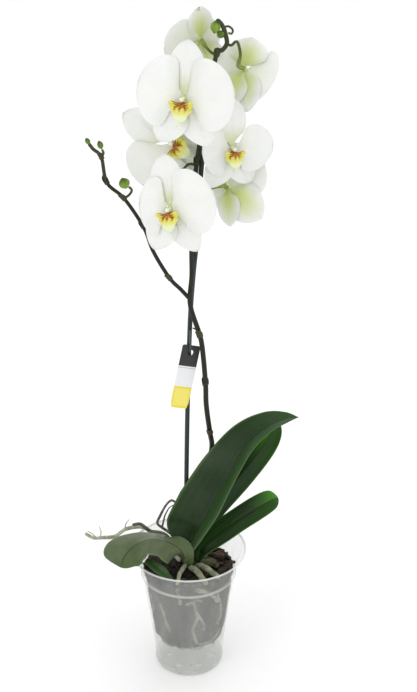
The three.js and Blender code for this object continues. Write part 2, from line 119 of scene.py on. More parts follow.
def lattice(rows: int, columns: int) -> tuple[np.ndarray, np.ndarray]:
    """Gives shares along a blade from 0 to 1 and across it from -1 to 1, closer at its rim."""
    s = 0.5 - 0.5 * np.cos(math.pi * np.linspace(0, 1, rows))
    return s[:, None], np.sin(np.linspace(-math.pi / 2, math.pi / 2, columns))[None, :]


@dataclass(frozen=True)
class Line:
    """A smooth line through points."""

    through: Sequence[Triple]

    def at(self, s: np.ndarray) -> np.ndarray:
        """Gives the points at shares s of the line, 0 at its first point and 1 at its last."""
        points = np.array(self.through, float)
        padded = np.vstack([2 * points[0] - points[1], points, 2 * points[-1] - points[-2]])
        k = np.clip(s, 0, 1) * (len(points) - 1)
        i = np.minimum(k.astype(int), len(points) - 2)
        w = (k - i)[:, None]
        p0, p1, p2, p3 = (padded[i + j] for j in range(4))
        t0, t1 = (p2 - p0) / 2, (p3 - p1) / 2
        return p1 + t0 * w + (3 * p2 - 3 * p1 - 2 * t0 - t1) * w**2 + (2 * p1 - 2 * p2 + t0 + t1) * w**3

    def heading(self, s: np.ndarray) -> np.ndarray:
        """Gives the unit directions of the line at shares s."""
        return unit(self.at(np.minimum(s + NUDGE, 1)) - self.at(np.maximum(s - NUDGE, 0)))

    def spaced(self, step: float, cap: float) -> tuple[np.ndarray, np.ndarray]:
        """Gives points a step apart along the line, closer in the rounded ends.

        Args:
            step: Distance between points.
            cap: Length of each rounded end.

        Returns:
            The points, and how far each is along the line.
        """
        dense = self.at(np.linspace(0, 1, LINE_SAMPLES * len(self.through)))
        run = np.concatenate([[0], np.cumsum(np.linalg.norm(np.diff(dense, axis=0), axis=1))])
        end = cap * (1 - np.cos(np.linspace(0, math.pi / 2, END_RINGS)))
        middle = np.linspace(cap, run[-1] - cap, max(int((run[-1] - 2 * cap) / step), 2) + 1)
        stops = np.concatenate([end[:-1], middle, run[-1] - end[:-1][::-1]])
        return np.stack([np.interp(stops, run, dense[:, k]) for k in range(3)], axis=1), stops


def bumps(points: np.ndarray, scale: float, seed: float) -> np.ndarray:
    """Gives smooth noise from about -1 to 1 at each point, at a scale in waves per millimetre."""
    flat = points.reshape(-1, 3) * scale + seed * SEED_STRIDE
    return np.array([noise.noise(Vector(p)) for p in flat]).reshape(points.shape[:-1])


# ------------------------------------------------------------------ meshes


class Draft:
    """Points, faces and point marks that are gathered into one mesh."""

    def __init__(self) -> None:
        """Starts with nothing."""
        self.points: list[np.ndarray] = []
        self.faces: list[list[int]] = []
        self.marks: dict[str, list[np.ndarray]] = {name: [] for name in MARKS}
        self.size = 0

    def add(self, points: np.ndarray, faces: np.ndarray, **marks: np.ndarray | float) -> None:
        """Adds points of any grid shape, and faces that count from the first of them."""
        flat = points.reshape(-1, 3)
        self.faces += (faces + self.size).tolist()
        self.points.append(flat)
        for name in MARKS:
            value = np.broadcast_to(marks.get(name, 0.0), points.shape[:-1])
            self.marks[name].append(value.reshape(-1))
        self.size += len(flat)

    def grid(self, points: np.ndarray, closed: bool = False, **marks: np.ndarray | float) -> None:
        """Adds a grid of points as faces with four sides, joined round if closed."""
        index = np.arange(points.shape[0] * points.shape[1]).reshape(points.shape[:2])
        if closed:
            index = np.concatenate([index, index[:, :1]], axis=1)
        self.add(points, quads(index), **marks)

    def blade(self, middle: np.ndarray, thickness: np.ndarray, front: float = 1.0,
              **marks: np.ndarray | float) -> None:
        """Adds a thin closed shell about a middle surface.

        Args:
            middle: Points in rows from base to tip, in columns across.
            thickness: Full thickness at each point.
            front: What the face mark says on the side that rows x columns point to.
            marks: Other marks of the points of the middle surface.
        """
        normal = np.cross(np.gradient(middle, axis=0), np.gradient(middle, axis=1))
        short = np.linalg.norm(normal, axis=-1) < 100 * TINY
        for row in range(1, len(normal)):
            normal[row][short[row]] = normal[row - 1][short[row]]
        half = unit(normal) * (thickness / 2)[..., None]
        rows, columns = middle.shape[:2]
        top = np.arange(rows * columns).reshape(rows, columns)
        under = top + rows * columns
        strips = [quads(top), quads(under[:, ::-1])]
        for upper, lower in ((top[0], under[0]), (under[-1], top[-1]), (under[:, 0], top[:, 0]),
                             (top[:, -1], under[:, -1])):
            strips.append(quads(np.stack([upper, lower])))
        sides = np.stack([np.full((rows, columns), front), np.full((rows, columns), -front)])
        doubled = {name: np.stack([np.broadcast_to(m, (rows, columns))] * 2) for name, m in marks.items()}
        self.add(np.stack([middle + half, middle - half]), np.concatenate(strips), face=sides, **doubled)

    def tube(
        self,
        line: Line,
        radius: float | Callable[[np.ndarray], np.ndarray],
        step: float = 3.0,
        sides: int = 12,
        shape: Callable[[np.ndarray, np.ndarray], np.ndarray] | None = None,
        **marks: Callable[[np.ndarray], np.ndarray] | float,
    ) -> None:
        """Adds a round bar with rounded ends along a line.

        Args:
            line: Its middle line.
            radius: Its radius, or a function of the share of its length.
            step: Distance between its rings.
            sides: Points in a ring.
            shape: Factor on the radius from the share of the length and the angle.
            marks: Marks as numbers, or as functions of the share of its length.
        """
        thick = radius if callable(radius) else lambda s: np.full_like(s, radius)
        cap = float(thick(np.array([0.5]))[0])
        span = float(np.linalg.norm(np.subtract(line.through[-1], line.through[0])))
        points, run = line.spaced(step, min(cap, END_LIMIT * span))
        share = run / run[-1]
        near = np.clip(np.minimum(run, run[-1] - run) / cap, 0, 1)
        size = thick(share) * np.sqrt(1 - (1 - near) ** 2)
        along = unit(np.gradient(points, axis=0))
        side = np.cross(along[0], ASKEW)
        frames = []
        for direction in along:
            side = unit(side - direction * (side @ direction))
            frames.append((side, np.cross(direction, side)))
        turn = circle(sides)
        first, second = (np.array([f[k] for f in frames])[:, None] for k in range(2))
        rim = first * np.cos(turn)[None, :, None] + second * np.sin(turn)[None, :, None]
        factor = shape(share[:, None], turn[None, :]) if shape else 1.0
        ring = points[:, None] + rim * (size[:, None] * factor)[..., None]
        ready = {name: m(share)[:, None] if callable(m) else m for name, m in marks.items()}
        plain = {"along": share[:, None], "across": turn[None, :] / (2 * math.pi)}
        self.grid(ring, closed=True, **{**plain, **ready})

    def lathe(self, profile: Sequence[tuple[float, float]], facets: int) -> None:
        """Adds the surface that a profile of radius and height sweeps round the Z axis."""
        turn = circle(facets)
        r, z = np.array(profile, float).T
        ring = np.stack([np.outer(r, np.cos(turn)), np.outer(r, np.sin(turn)),
                         np.repeat(z[:, None], facets, 1)], axis=-1)
        self.grid(ring, closed=True)

    def build(self, name: str, sharp: float = SHARP) -> bpy.types.Object:
        """Makes the mesh object, in metres, with its marks as point attributes.

        Args:
            name: Name of the object and its mesh.
            sharp: Edges that turn by more than this many degrees are drawn sharp.

        Returns:
            The new object, in the scene.
        """
        mesh = bpy.data.meshes.new(name)
        mesh.from_pydata((np.concatenate(self.points) * MM).tolist(), [], self.faces)
        for mark, values in self.marks.items():
            layer = mesh.attributes.new(mark, "FLOAT", "POINT")
            layer.data.foreach_set("value", np.concatenate(values).astype(np.float32))
        shell = bmesh.new()
        shell.from_mesh(mesh)
        bmesh.ops.remove_doubles(shell, verts=shell.verts, dist=WELD)
        bmesh.ops.recalc_face_normals(shell, faces=shell.faces)
        shell.to_mesh(mesh)
        shell.free()
        mesh.polygons.foreach_set("use_smooth", [True] * len(mesh.polygons))
        mesh.set_sharp_from_angle(angle=math.radians(sharp))
        made = bpy.data.objects.new(name, mesh)
        bpy.context.scene.collection.objects.link(made)
        return made


def quads(index: np.ndarray) -> np.ndarray:
    """Gives the faces with four sides of a grid of point numbers."""
    return np.stack([index[:-1, :-1], index[1:, :-1], index[1:, 1:], index[:-1, 1:]], -1).reshape(-1, 4)


# ------------------------------------------------------------------ shader graph


class Value:
    """A socket that a node gives out, with arithmetic that adds Math nodes."""

    def __init__(self, graph: "Graph", socket: bpy.types.NodeSocket) -> None:
        """Wraps a socket of a graph."""
        self.graph = graph
        self.socket = socket

    def math(self, operation: str, *terms: "Value | float") -> "Value":
        """Adds one Math node on the terms."""
        return self.graph.node("ShaderNodeMath", {"operation": operation}, dict(enumerate(terms)))

    def __add__(self, other: "Value | float") -> "Value":
        """Adds."""
        return self.math("ADD", self, other)

    __radd__ = __add__

    def __sub__(self, other: "Value | float") -> "Value":
        """Takes other away."""
        return self.math("SUBTRACT", self, other)

    def __rsub__(self, other: float) -> "Value":
        """Takes this away from other."""
        return self.math("SUBTRACT", other, self)

    def __mul__(self, other: "Value | float") -> "Value":
        """Multiplies."""
        return self.math("MULTIPLY", self, other)

    __rmul__ = __mul__

    def size(self) -> "Value":
        """Gives the value without its sign."""
        return self.math("ABSOLUTE", self)

    def wave(self) -> "Value":
        """Gives a sine wave of the value, from 0 to 1."""
        return self.math("SINE", self) * 0.5 + 0.5

    def most(self, other: "Value | float") -> "Value":
        """Gives the larger of the two."""
        return self.math("MAXIMUM", self, other)


class Graph:
    """The nodes of one material."""

    def __init__(self, name: str) -> None:
        """Starts an empty material."""
        self.material = bpy.data.materials.new(name)
        self.material.use_nodes = True
        self.tree = self.material.node_tree
        self.tree.nodes.clear()

    def node(self, kind: str, settings: dict | None = None, inputs: dict | None = None,
             output: int | str = 0) -> Value:
        """Adds one node.

        Args:
            kind: The node's type.
            settings: Its settings, which are set first.
            inputs: Values or links of its sockets, by name or number.
            output: The socket to give back.

        Returns:
            The chosen output.
        """
        made = self.tree.nodes.new(kind)
        for key, value in (settings or {}).items():
            setattr(made, key, value)
        for key, value in (inputs or {}).items():
            if isinstance(value, Value):
                self.tree.links.new(value.socket, made.inputs[key])
            else:
                made.inputs[key].default_value = value
        return Value(self, made.outputs[output])

    def mark(self, name: str) -> Value:
        """Reads a point mark of the mesh."""
        return self.node("ShaderNodeAttribute", {"attribute_name": name}, output="Fac")

    def place(self, stretch: Triple = (1.0, 1.0, 1.0)) -> Value:
        """Gives the place on the object in metres, stretched."""
        where = self.node("ShaderNodeTexCoord", output="Object")
        return self.node("ShaderNodeVectorMath", {"operation": "MULTIPLY"}, {0: where, 1: stretch})

    def behind(self) -> Value:
        """Gives 1 on the back of a blade and 0 on its front."""
        return self.rise(self.mark("face"), 0.1, -0.1)

    def height(self) -> Value:
        """Gives the height above the pot's bottom in metres."""
        return self.node("ShaderNodeSeparateXYZ", None, {0: self.place()}, output=2)

    def point(self, x: "Value | float", y: "Value | float", z: "Value | float") -> Value:
        """Makes a point of three values."""
        return self.node("ShaderNodeCombineXYZ", None, {0: x, 1: y, 2: z})

    def cloud(self, scale: float, detail: float = 3.0, where: Value | None = None) -> Value:
        """Gives soft noise from 0 to 1."""
        inputs = {"Vector": where or self.place(), "Scale": scale, "Detail": detail, "Roughness": 0.55}
        return self.node("ShaderNodeTexNoise", None, inputs)

    def drawn(self, waves: Triple, detail: float = 4.0) -> Value:
        """Gives soft noise that is drawn out, with so many waves per metre along x, y and z."""
        return self.cloud(1.0, detail, self.place(waves))

    def specks(self, scale: float, low: float, high: float, detail: float = 3.0) -> Value:
        """Gives soft specks, 0 where noise is under low and 1 where it is over high."""
        return self.rise(self.cloud(scale, detail), low, high)

    def cells(self, scale: float, feature: str = "F1", where: Value | None = None) -> Value:
        """Gives the distance pattern of scattered cells."""
        inputs = {"Vector": where or self.place(), "Scale": scale}
        return self.node("ShaderNodeTexVoronoi", {"feature": feature}, inputs)

    def rise(self, value: Value, low: float, high: float) -> Value:
        """Goes smoothly from 0 at low to 1 at high."""
        return self.node("ShaderNodeMapRange", {"interpolation_type": "SMOOTHSTEP"},
                         {0: value, 1: low, 2: high})

    def band(self, value: Value, middle: float, outer: float, inner: float) -> Value:
        """Gives 1 within inner of a middle value and 0 past outer."""
        return self.rise((value - middle).size(), outer, inner)

    def blend(self, share: "Value | float", first: "Value | str", second: "Value | str",
              mode: str = "MIX") -> Value:
        """Mixes two colours."""
        first, second = (paint(c) if isinstance(c, str) else c for c in (first, second))
        settings = {"data_type": "RGBA", "blend_type": mode}
        return self.node("ShaderNodeMix", settings, {0: share, 6: first, 7: second}, output=2)

    def coats(self, under: "Value | str", *coats: "tuple[Value | float, Value | str]") -> Value:
        """Lays colours over each other in turn, each by its share."""
        for share, colour in coats:
            under = self.blend(share, under, colour)
        return under

    def relief(self, height: Value, depth: float, under: Value | None = None) -> Value:
        """Turns a height from 0 to 1 into a normal, for relief of so many millimetres."""
        inputs = {"Height": height, "Distance": depth * MM, "Strength": 1.0}
        if under:
            inputs["Normal"] = under
        return self.node("ShaderNodeBump", None, inputs)

    def skin(self, colour: Value, rough: Value, normal: Value | None = None,
             **sockets: "Value | float | Triple") -> None:
        """Ends the graph in a Principled shader.

        Args:
            colour: Its base colour.
            rough: Its roughness.
            normal: Its normal, if it has relief.
            sockets: Its other sockets, with _ for each space in their names.
        """
        inputs = {"Base Color": colour, "Roughness": rough}
        if normal:
            inputs["Normal"] = normal
        inputs.update({name.replace("_", " "): value for name, value in sockets.items()})
        shader = self.node("ShaderNodeBsdfPrincipled", None, inputs)
        out = self.tree.nodes.new("ShaderNodeOutputMaterial")
        self.tree.links.new(shader.socket, out.inputs["Surface"])


# ------------------------------------------------------------------ finishes


MADE: dict["Finish", bpy.types.Material] = {}


@dataclass(frozen=True)
class Finish:
    """A procedural material, made once under its name."""

    name: str

    def material(self) -> bpy.types.Material:
        """Gives the material, and makes it the first time."""
        if self not in MADE:
            graph = Graph(self.name)
            self.draw(graph)
            MADE[self] = graph.material
        return MADE[self]

    def draw(self, g: Graph) -> None:
        """Draws the material's nodes."""
        raise NotImplementedError


@dataclass(frozen=True)
class LeafFinish(Finish):
    """Waxy leaf skin with a sunk midrib and fine veins that run to the tip, with one half painted lighter as
    lit, a painted grey sheen with some dust, and painted shade down the midrib groove.
    """

    top: str = "#223a1c"
    tip: str = "#2f5a22"
    under: str = "#44603a"
    # bloom: grey patches of painted sheen on the leaf, with some dust
    bloom: str = "#7d8970"
    dust_and_sheen_share: float = 0.1
    # painted light: the half of the blade across the midrib, lighter where it catches the light
    painted_lit_half: str = "#2c4528"
    rough: float = 0.3
    # rib: painted shade down the midrib groove
    rib: str = "#10200c"
    edge: str = "#5f8440"
    vein: str = "#7f9a62"
    under_streak: str = "#5d7a48"
    under_rib: str = "#8aa06a"

    def draw(self, g: Graph) -> None:
        """Draws the material's nodes."""
        along, across, face = g.mark("along"), g.mark("across"), g.mark("face")
        off, behind = across.size(), g.behind()
        streak = g.cloud(1.0, 4.0, g.point(along * 2.2, across * 13.0, face * 3.0))
        veins = (across * 95.0 + g.cloud(60.0) * 7.0).wave()
        patch = g.cloud(45.0)
        lower = g.coats(self.under,
                        (g.rise(streak, 0.3, 0.7) * 0.5, self.under_streak),
                        (g.rise(off, 0.05, 0.0) * 0.5, self.under_rib))
        colour = g.coats(self.top,
                         (g.rise(along, 0.6, 0.95), self.tip),
                         # painted light: one half of the blade is lighter, where it catches the light
                         (g.rise(across, -0.06, 0.12) * 0.8, self.painted_lit_half),
                         (g.rise(streak, 0.35, 0.7) * 0.25, self.tip),
                         (g.rise(patch, 0.45, 0.72) * 0.3, self.top),
                         # grey patches: painted sheen on the leaf, with some dust
                         (g.rise(patch, 0.3, 0.75) * self.dust_and_sheen_share, self.bloom),
                         # painted shade: the midrib groove is darkened
                         (g.rise(off, 0.07, 0.0) * 0.65, self.rib),
                         (g.rise(off, 0.9, 1.0) * 0.45, self.edge),
                         (veins * 0.015, self.vein),
                         (behind, lower))
        rough = g.cloud(130.0) * 0.16 + behind * 0.16 + (self.rough - 0.06)
        normal = g.relief(veins * 0.1 + g.cloud(900.0, 2.0) * 0.4, 0.02, g.relief(streak, 0.3))
        g.skin(colour, rough, normal, Coat_Weight=0.03, Coat_Roughness=0.3, Specular_IOR_Level=0.22)


@dataclass(frozen=True)
class PetalFinish(Finish):
    """Crystalline white petal tissue, green towards the root and down the back."""

    flush: float = 0.25
    back: float = 0.7
    tip: float = 0.0
    green: str = "#c6d37c"
    white: str = "#eff0ed"
    shaded: str = "#e6e8e5"
    vein: str = "#dfe3d2"
    dry: str = "#9a7f3a"

    def draw(self, g: Graph) -> None:
        """Draws the material's nodes."""
        along, across, face = g.mark("along"), g.mark("across"), g.mark("face")
        where = g.point(along * 3.0, across * 9.0 * (1.15 - along * 0.5), face)
        web = g.rise(g.cells(1.6, "DISTANCE_TO_EDGE", where), 0.1, 0.0)
        shade = g.cloud(38.0)
        mid = g.rise(along, 1.15, 0.25) * g.rise(across.size(), 1.05, 0.1) * self.back
        stain = g.rise(along, 0.86, 0.99) * g.specks(260.0, 0.4, 0.6) * self.tip
        colour = g.coats(self.white,
                         (g.rise(shade, 0.3, 0.75) * 0.6, self.shaded),
                         (web * 0.1, self.vein),
                         (g.rise(along, 0.48, 0.05) * self.flush, self.green),
                         (mid * g.behind(), self.green),
                         (stain, self.dry))
        normal = g.relief(g.cells(2600.0), 0.03, g.relief(web + shade * 0.8, 0.08))
        g.skin(colour, g.cloud(90.0) * 0.16 + 0.44, normal, Sheen_Weight=0.15, Sheen_Roughness=0.5,
               Specular_IOR_Level=0.35, Subsurface_Weight=0.18, Subsurface_Scale=0.004,
               Subsurface_Radius=(1.0, 1.0, 0.8))


@dataclass(frozen=True)
class LipFinish(Finish):
    """The lip: a yellow throat with red-brown bars, and paler ends."""

    tongue: str = "#e2dc6c"
    end: str = "#e4edc0"
    wing: str = "#e0d848"
    wing_edge: str = "#e8e88c"
    bar: str = "#8e3a10"
    deep: str = "#b5622a"
    deep_bar: str = "#7a2c0c"
    callus: str = "#e0a52c"
    freckle: str = "#9a3b12"
    tail: str = "#eef0d8"

    def draw(self, g: Graph) -> None:
        """Draws the material's nodes."""
        along, across, zone = g.mark("along"), g.mark("across"), g.mark("zone")
        bars = g.rise((across * 12.0 + g.cloud(350.0) * 5.0).wave(), 0.45, 0.8)
        spots = g.specks(900.0, 0.56, 0.66)
        tongue = g.rise(zone, 0.6, 0.4)
        callus = g.blend(g.specks(1100.0, 0.45, 0.6), self.callus, self.freckle)
        throat = g.rise(along, 0.54, 0.34) * g.rise(across.size(), 1.0, 0.6).most(1 - tongue)
        colour = g.coats(g.blend(g.rise(across.size(), 0.55, 1.0), self.wing, self.wing_edge),
                         (tongue, g.blend(g.rise(along, 0.5, 0.68), self.tongue, self.end)),
                         (bars.most(spots * 0.6) * throat * 0.95, self.bar),
                         (g.rise(along, 0.42, 0.16) * 0.85, g.blend(bars, self.deep, self.deep_bar)),
                         (g.rise(zone, 1.4, 1.6), callus),
                         (g.rise(zone, 2.4, 2.6), self.tail))
        normal = g.relief(g.cells(1900.0), 0.04, g.relief(bars, 0.12))
        g.skin(colour, g.cloud(200.0) * 0.2 + 0.34, normal, Specular_IOR_Level=0.45)


@dataclass(frozen=True)
class ColumnFinish(Finish):
    """The fleshy white column, flushed green below and yellow under its cap."""

    white: str = "#eff0da"
    green: str = "#c9d68c"
    fleck: str = "#e6dfb0"
    under_cap: str = "#b59a5a"
    cap_edge: float = 0.78

    def draw(self, g: Graph) -> None:
        """Draws the material's nodes."""
        along = g.mark("along")
        ring = g.band(along, self.cap_edge, 0.035, 0.0)
        colour = g.coats(self.white,
                         (g.rise(along, 0.7, 0.0), self.green),
                         (g.specks(700.0, 0.55, 0.7) * 0.35, self.fleck),
                         (ring * 0.7, self.under_cap))
        normal = g.relief(g.cloud(900.0), 0.05, g.relief(1 - ring, 0.25))
        g.skin(colour, g.cloud(300.0) * 0.2 + 0.32, normal)


@dataclass(frozen=True)
class StemFinish(Finish):
    """Stem skin, from dark and woody to fresh green by its mark, with flecks and fine ribs."""

    old: str = "#191b13"
    mid: str = "#3f4926"
    young: str = "#93a84e"
    rough: float = 0.4
    rib: str = "#4d5636"
    fleck: str = "#8d8f66"
    papery: str = "#5c5636"

    def draw(self, g: Graph) -> None:
        """Draws the material's nodes."""
        fresh = g.mark("fresh")
        ribs = g.drawn((420.0, 420.0, 60.0))
        flecks = g.specks(1300.0, 0.58, 0.7, 2.0)
        grown = g.coats(self.old, (g.rise(fresh, 0.0, 0.5), self.mid), (g.rise(fresh, 0.5, 1.0), self.young))
        colour = g.coats(g.blend(g.rise(ribs, 0.35, 0.7) * 0.5, grown, self.rib, "OVERLAY"),
                         (flecks * 0.15, self.fleck),
                         (g.rise(g.mark("zone"), 0.5, 1.0) * 0.3, self.papery))
        normal = g.relief(ribs, 0.12, g.relief(flecks, 0.06))
        g.skin(colour, g.cloud(240.0) * 0.25 + self.rough, normal, Specular_IOR_Level=0.3)


@dataclass(frozen=True)
class RootFinish(Finish):
    """Papery root skin, chalky where dry and green where it grows."""

    pale: str = "#a3a58f"
    dark: str = "#5d5f4a"
    green: str = "#7f9552"
    growing: float = 0.3
    chalk: str = "#d6d7c6"
    scar: str = "#4a3a22"

    def draw(self, g: Graph) -> None:
        """Draws the material's nodes."""
        patch, grain = g.cloud(160.0, 5.0), g.cloud(1500.0)
        colour = g.coats(self.dark,
                         (g.rise(patch, 0.35, 0.65), self.pale),
                         (g.specks(90.0, 0.5, 0.7) * 0.4, self.green),
                         (g.rise(g.mark("along"), 0.9, 1.0) * self.growing, self.green),
                         (g.rise(grain, 0.55, 0.75) * 0.35, self.chalk),
                         (g.specks(420.0, 0.62, 0.72) * 0.6, self.scar))
        normal = g.relief(grain, 0.12, g.relief(patch, 0.7))
        g.skin(colour, g.cloud(300.0) * 0.2 + 0.68, normal, Sheen_Weight=0.12, Sheen_Roughness=0.6)


@dataclass(frozen=True)
class BarkFinish(Finish):
    """Damp bark, moss and fibre, each chip with its own tone in its mark."""

    wet: str = "#0e0b08"
    dry: str = "#4f3a22"
    split: str = "#1b140d"
    dust: str = "#5e4a2e"
    moss: str = "#5c6340"
    pit: str = "#0a0805"

    def draw(self, g: Graph) -> None:
        """Draws the material's nodes."""
        grain = g.drawn((500.0, 160.0, 500.0), 5.0)
        crumb, lump = g.cloud(320.0, 5.0), g.cells(95.0)
        colour = g.coats(self.wet,
                         (g.rise(g.mark("fresh"), 0.0, 1.0), self.dry),
                         (g.rise(grain, 0.35, 0.7) * 0.6, self.split),
                         (g.rise(crumb, 0.56, 0.72) * 0.4, self.dust),
                         (g.rise(g.mark("zone"), 0.5, 1.0) * 0.8, self.moss),
                         (g.rise(lump, 0.6, 0.9) * 0.3, self.pit))
        normal = g.relief(grain, 0.5, g.relief(crumb + lump * 0.8, 0.9))
        g.skin(colour, crumb * 0.3 + 0.62, normal)


@dataclass(frozen=True)
class ClearPlasticFinish(Finish):
    """Thin moulded plastic, frosted below the ledge and clearer above it; heights are in metres."""

    frost: float = 0.16
    clear: float = 0.15
    low: float = 0.27
    rim: float = 0.45
    plain: str = "#dcdfda"
    milky: str = "#e6e8e3"
    solid: str = "#eef0ec"
    rim_height: float = 0.1395
    ledge_height: float = 0.1117
    frosted_below: tuple[float, float] = (0.1125, 0.1095)
    empty_below: tuple[float, float] = (0.044, 0.034)
    foot_below: tuple[float, float] = (0.008, 0.002)

    def draw(self, g: Graph) -> None:
        """Draws the material's nodes."""
        up = g.height()
        film = g.drawn((60.0, 60.0, 14.0))
        scuff = g.rise(g.drawn((500.0, 500.0, 90.0)), 0.6, 0.78)
        body = g.rise(up, *self.frosted_below) * (self.frost - self.clear) + self.clear
        body = body + g.rise(up, *self.empty_below) * (self.low - self.frost)
        edge = g.band(up, self.rim_height, 0.0016, 0.0006)
        ledge = g.band(up, self.ledge_height, 0.0018, 0.0007)
        solid = edge.most(ledge * 0.7)
        alpha = body + solid * self.rim + (film - 0.5) * 0.14 + scuff * 0.06
        alpha = alpha + g.rise(up, *self.foot_below) * 0.2
        colour = g.coats(self.plain, (g.rise(film, 0.35, 0.7), self.milky), (solid, self.solid))
        normal = g.relief(film, 0.25, g.relief(scuff, 0.03))
        g.skin(colour, film * 0.2 + 0.2, normal, Alpha=alpha, IOR=1.49, Specular_IOR_Level=0.5)


@dataclass(frozen=True)
class PlasticFinish(Finish):
    """Coloured plastic with a fine moulded grain and light scuffs."""

    colour: str = "#0f2022"
    worn: str = "#22383a"
    rough: float = 0.46
    dirt: str = "#6a7468"

    def draw(self, g: Graph) -> None:
        """Draws the material's nodes."""
        scuff = g.rise(g.drawn((900.0, 900.0, 70.0), 5.0), 0.55, 0.75)
        speck = g.specks(700.0, 0.62, 0.7, 2.0)
        colour = g.coats(self.colour, (scuff * 0.6, self.worn), (speck * 0.15, self.dirt))
        normal = g.relief(g.cloud(2200.0, 2.0), 0.03, g.relief(scuff, 0.05))
        g.skin(colour, scuff * 0.2 + self.rough, normal)


@dataclass(frozen=True)
class TagFinish(Finish):
    """Printed card: a dark band, a bare pale field and a yellow block with a plain frame."""

    card: str = "#e6e8ea"
    band: str = "#262626"
    block: str = "#e6d536"
    panel: str = "#f3ea8c"
    line: str = "#b9bec2"
    grime: str = "#9a9c98"

    def draw(self, g: Graph) -> None:
        """Draws the material's nodes."""
        down, off = g.mark("along"), g.mark("across").size()
        block = g.rise(down, 0.655, 0.66)
        inside = g.rise(down, 0.69, 0.695) * g.rise(down, 0.965, 0.96) * g.rise(off, 0.84, 0.82)
        frame_line = g.band(off, 0.82, 0.035, 0.02) * block
        rule = g.band(down, 0.36, 0.007, 0.005)
        colour = g.coats(self.card,
                         (g.rise(down, 0.335, 0.33), self.band),
                         (block, self.block),
                         (inside * 0.45, self.panel),
                         (rule.most(frame_line * 0.4), self.line),
                         (g.specks(500.0, 0.6, 0.8) * 0.08, self.grime))
        g.skin(colour, g.cloud(180.0) * 0.14 + 0.34, g.relief(g.cloud(900.0), 0.02))


@dataclass(frozen=True)
class FloorFinish(Finish):
    """Plain pale studio paper."""

    paper: str = "#ffffff"
    fibre: str = "#fdfdfd"

    def draw(self, g: Graph) -> None:
        """Draws the material's nodes."""
        fibre = g.cloud(40.0, 4.0)
        g.skin(g.blend(fibre * 0.5, self.paper, self.fibre), fibre * 0.1 + 0.8, Specular_IOR_Level=0.1)


def add_piece(draft: Draft, name: str, finish: Finish, slot: Slot, *nodes: str,
              sharp: float = SHARP) -> None:
    """Makes a draft into a piece that stands for its CAD nodes.

    Args:
        draft: Its points and faces.
        name: Its name.
        finish: Its material.
        slot: The record's slot that the material belongs to; it is not used.
        nodes: The CAD nodes that it stands for.
        sharp: Edges that turn by more than this many degrees are drawn sharp.
    """
    piece = draft.build(name, sharp)
    piece.data.materials.append(finish.material())
    register(piece, slot, *nodes)


def register(piece: bpy.types.Object, slot: Slot, *nodes: str) -> None:
    """Rides a piece on its body and stands it in for its nodes."""
    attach(piece, BODY)
    if nodes:
        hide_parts(*nodes)
    LOG.info("%s: %d faces", piece.name, len(piece.data.polygons))


# ------------------------------------------------------------------ pot and root ball


@dataclass(frozen=True)
class Pot:
    """The thin tapered pot, with a rolled lip, a ledge and drain holes.

    Its profiles are pairs of radius and height. The outside runs from the middle of the bottom to the
    top of the rim, and the inside follows it from the foot's point to the lip's, past the ledge.
    """

    wall: float = 1.4
    facets: int = 160
    sharp: float = 40.0
    drains: int = 6
    drain_circle: float = 22.0
    drain_radius: float = 3.5
    drain_heights: Triple = (-4, 0, 8)
    outside: Sequence[tuple[float, float]] = (
        (0, 0.8), (18, 0.8), (29, 0.7), (30, 0), (32.6, 0), (34.2, 0.4), (35.2, 1.2), (35.9, 2.4),
        (36.2, 3.8), (36.4, 8), (36.6, 14), (36.9, 22), (39.5, 42), (42.1, 62), (45.2, 86), (48.1, 109.6),
        (48.5, 110.4), (49.6, 110.8), (50.2, 111.5), (50.2, 112.3), (49.7, 112.9), (49.8, 114),
        (50.4, 118), (52.7, 125), (55, 132), (57.8, 135.7), (59.6, 138), (60.3, 138.4), (60.6, 139),
        (60.5, 139.7), (60, 140.1), (59.3, 140.1), (58.8, 139.6),
    )
    foot: int = 9
    lip: int = 29
    ledge: tuple[float, float] = (109.7, 113.9)
    levels: Sequence[float] = (138, 135.7, 132, 125, 118, 114, 112, 110, 98, 86, 62, 42, 22, 14, 8, 5)
    floor: Sequence[tuple[float, float]] = ((34.4, 3.5), (33.6, 2.4), (32.4, 2), (26, 2), (18, 2), (0, 2))

    def inner(self, height: float) -> float:
        """Gives the inner radius of the wall at a height; the ledge doesn't show inside."""
        low, high = self.ledge
        r, z = np.array([p for p in self.outside[self.foot : self.lip] if not low < p[1] < high]).T
        return float(np.interp(height, z, r)) - self.wall

    def build(self) -> None:
        """Makes the pot and drills its drain holes."""
        draft = Draft()
        draft.lathe([*self.outside, *((self.inner(z), z) for z in self.levels), *self.floor], self.facets)
        pot = draft.build("clear_pot", self.sharp)
        drills = Draft()
        for turn in circle(self.drains):
            course = Line([polar(self.drain_circle, turn, z) for z in self.drain_heights])
            drills.tube(course, self.drain_radius, 4, 32)
        cutter = drills.build("drills")
        cut = pot.modifiers.new("drains", "BOOLEAN")
        cut.operation, cut.object, cut.solver = "DIFFERENCE", cutter, "EXACT"
        pot.data = bpy.data.meshes.new_from_object(pot.evaluated_get(bpy.context.evaluated_depsgraph_get()))
        pot.modifiers.clear()
        bpy.data.objects.remove(cutter)
        pot.data.materials.clear()
        pot.data.materials.append(ClearPlasticFinish("frosted_pot_plastic").material())
        register(pot, Slot.CLEAR_PLASTIC, "pot")


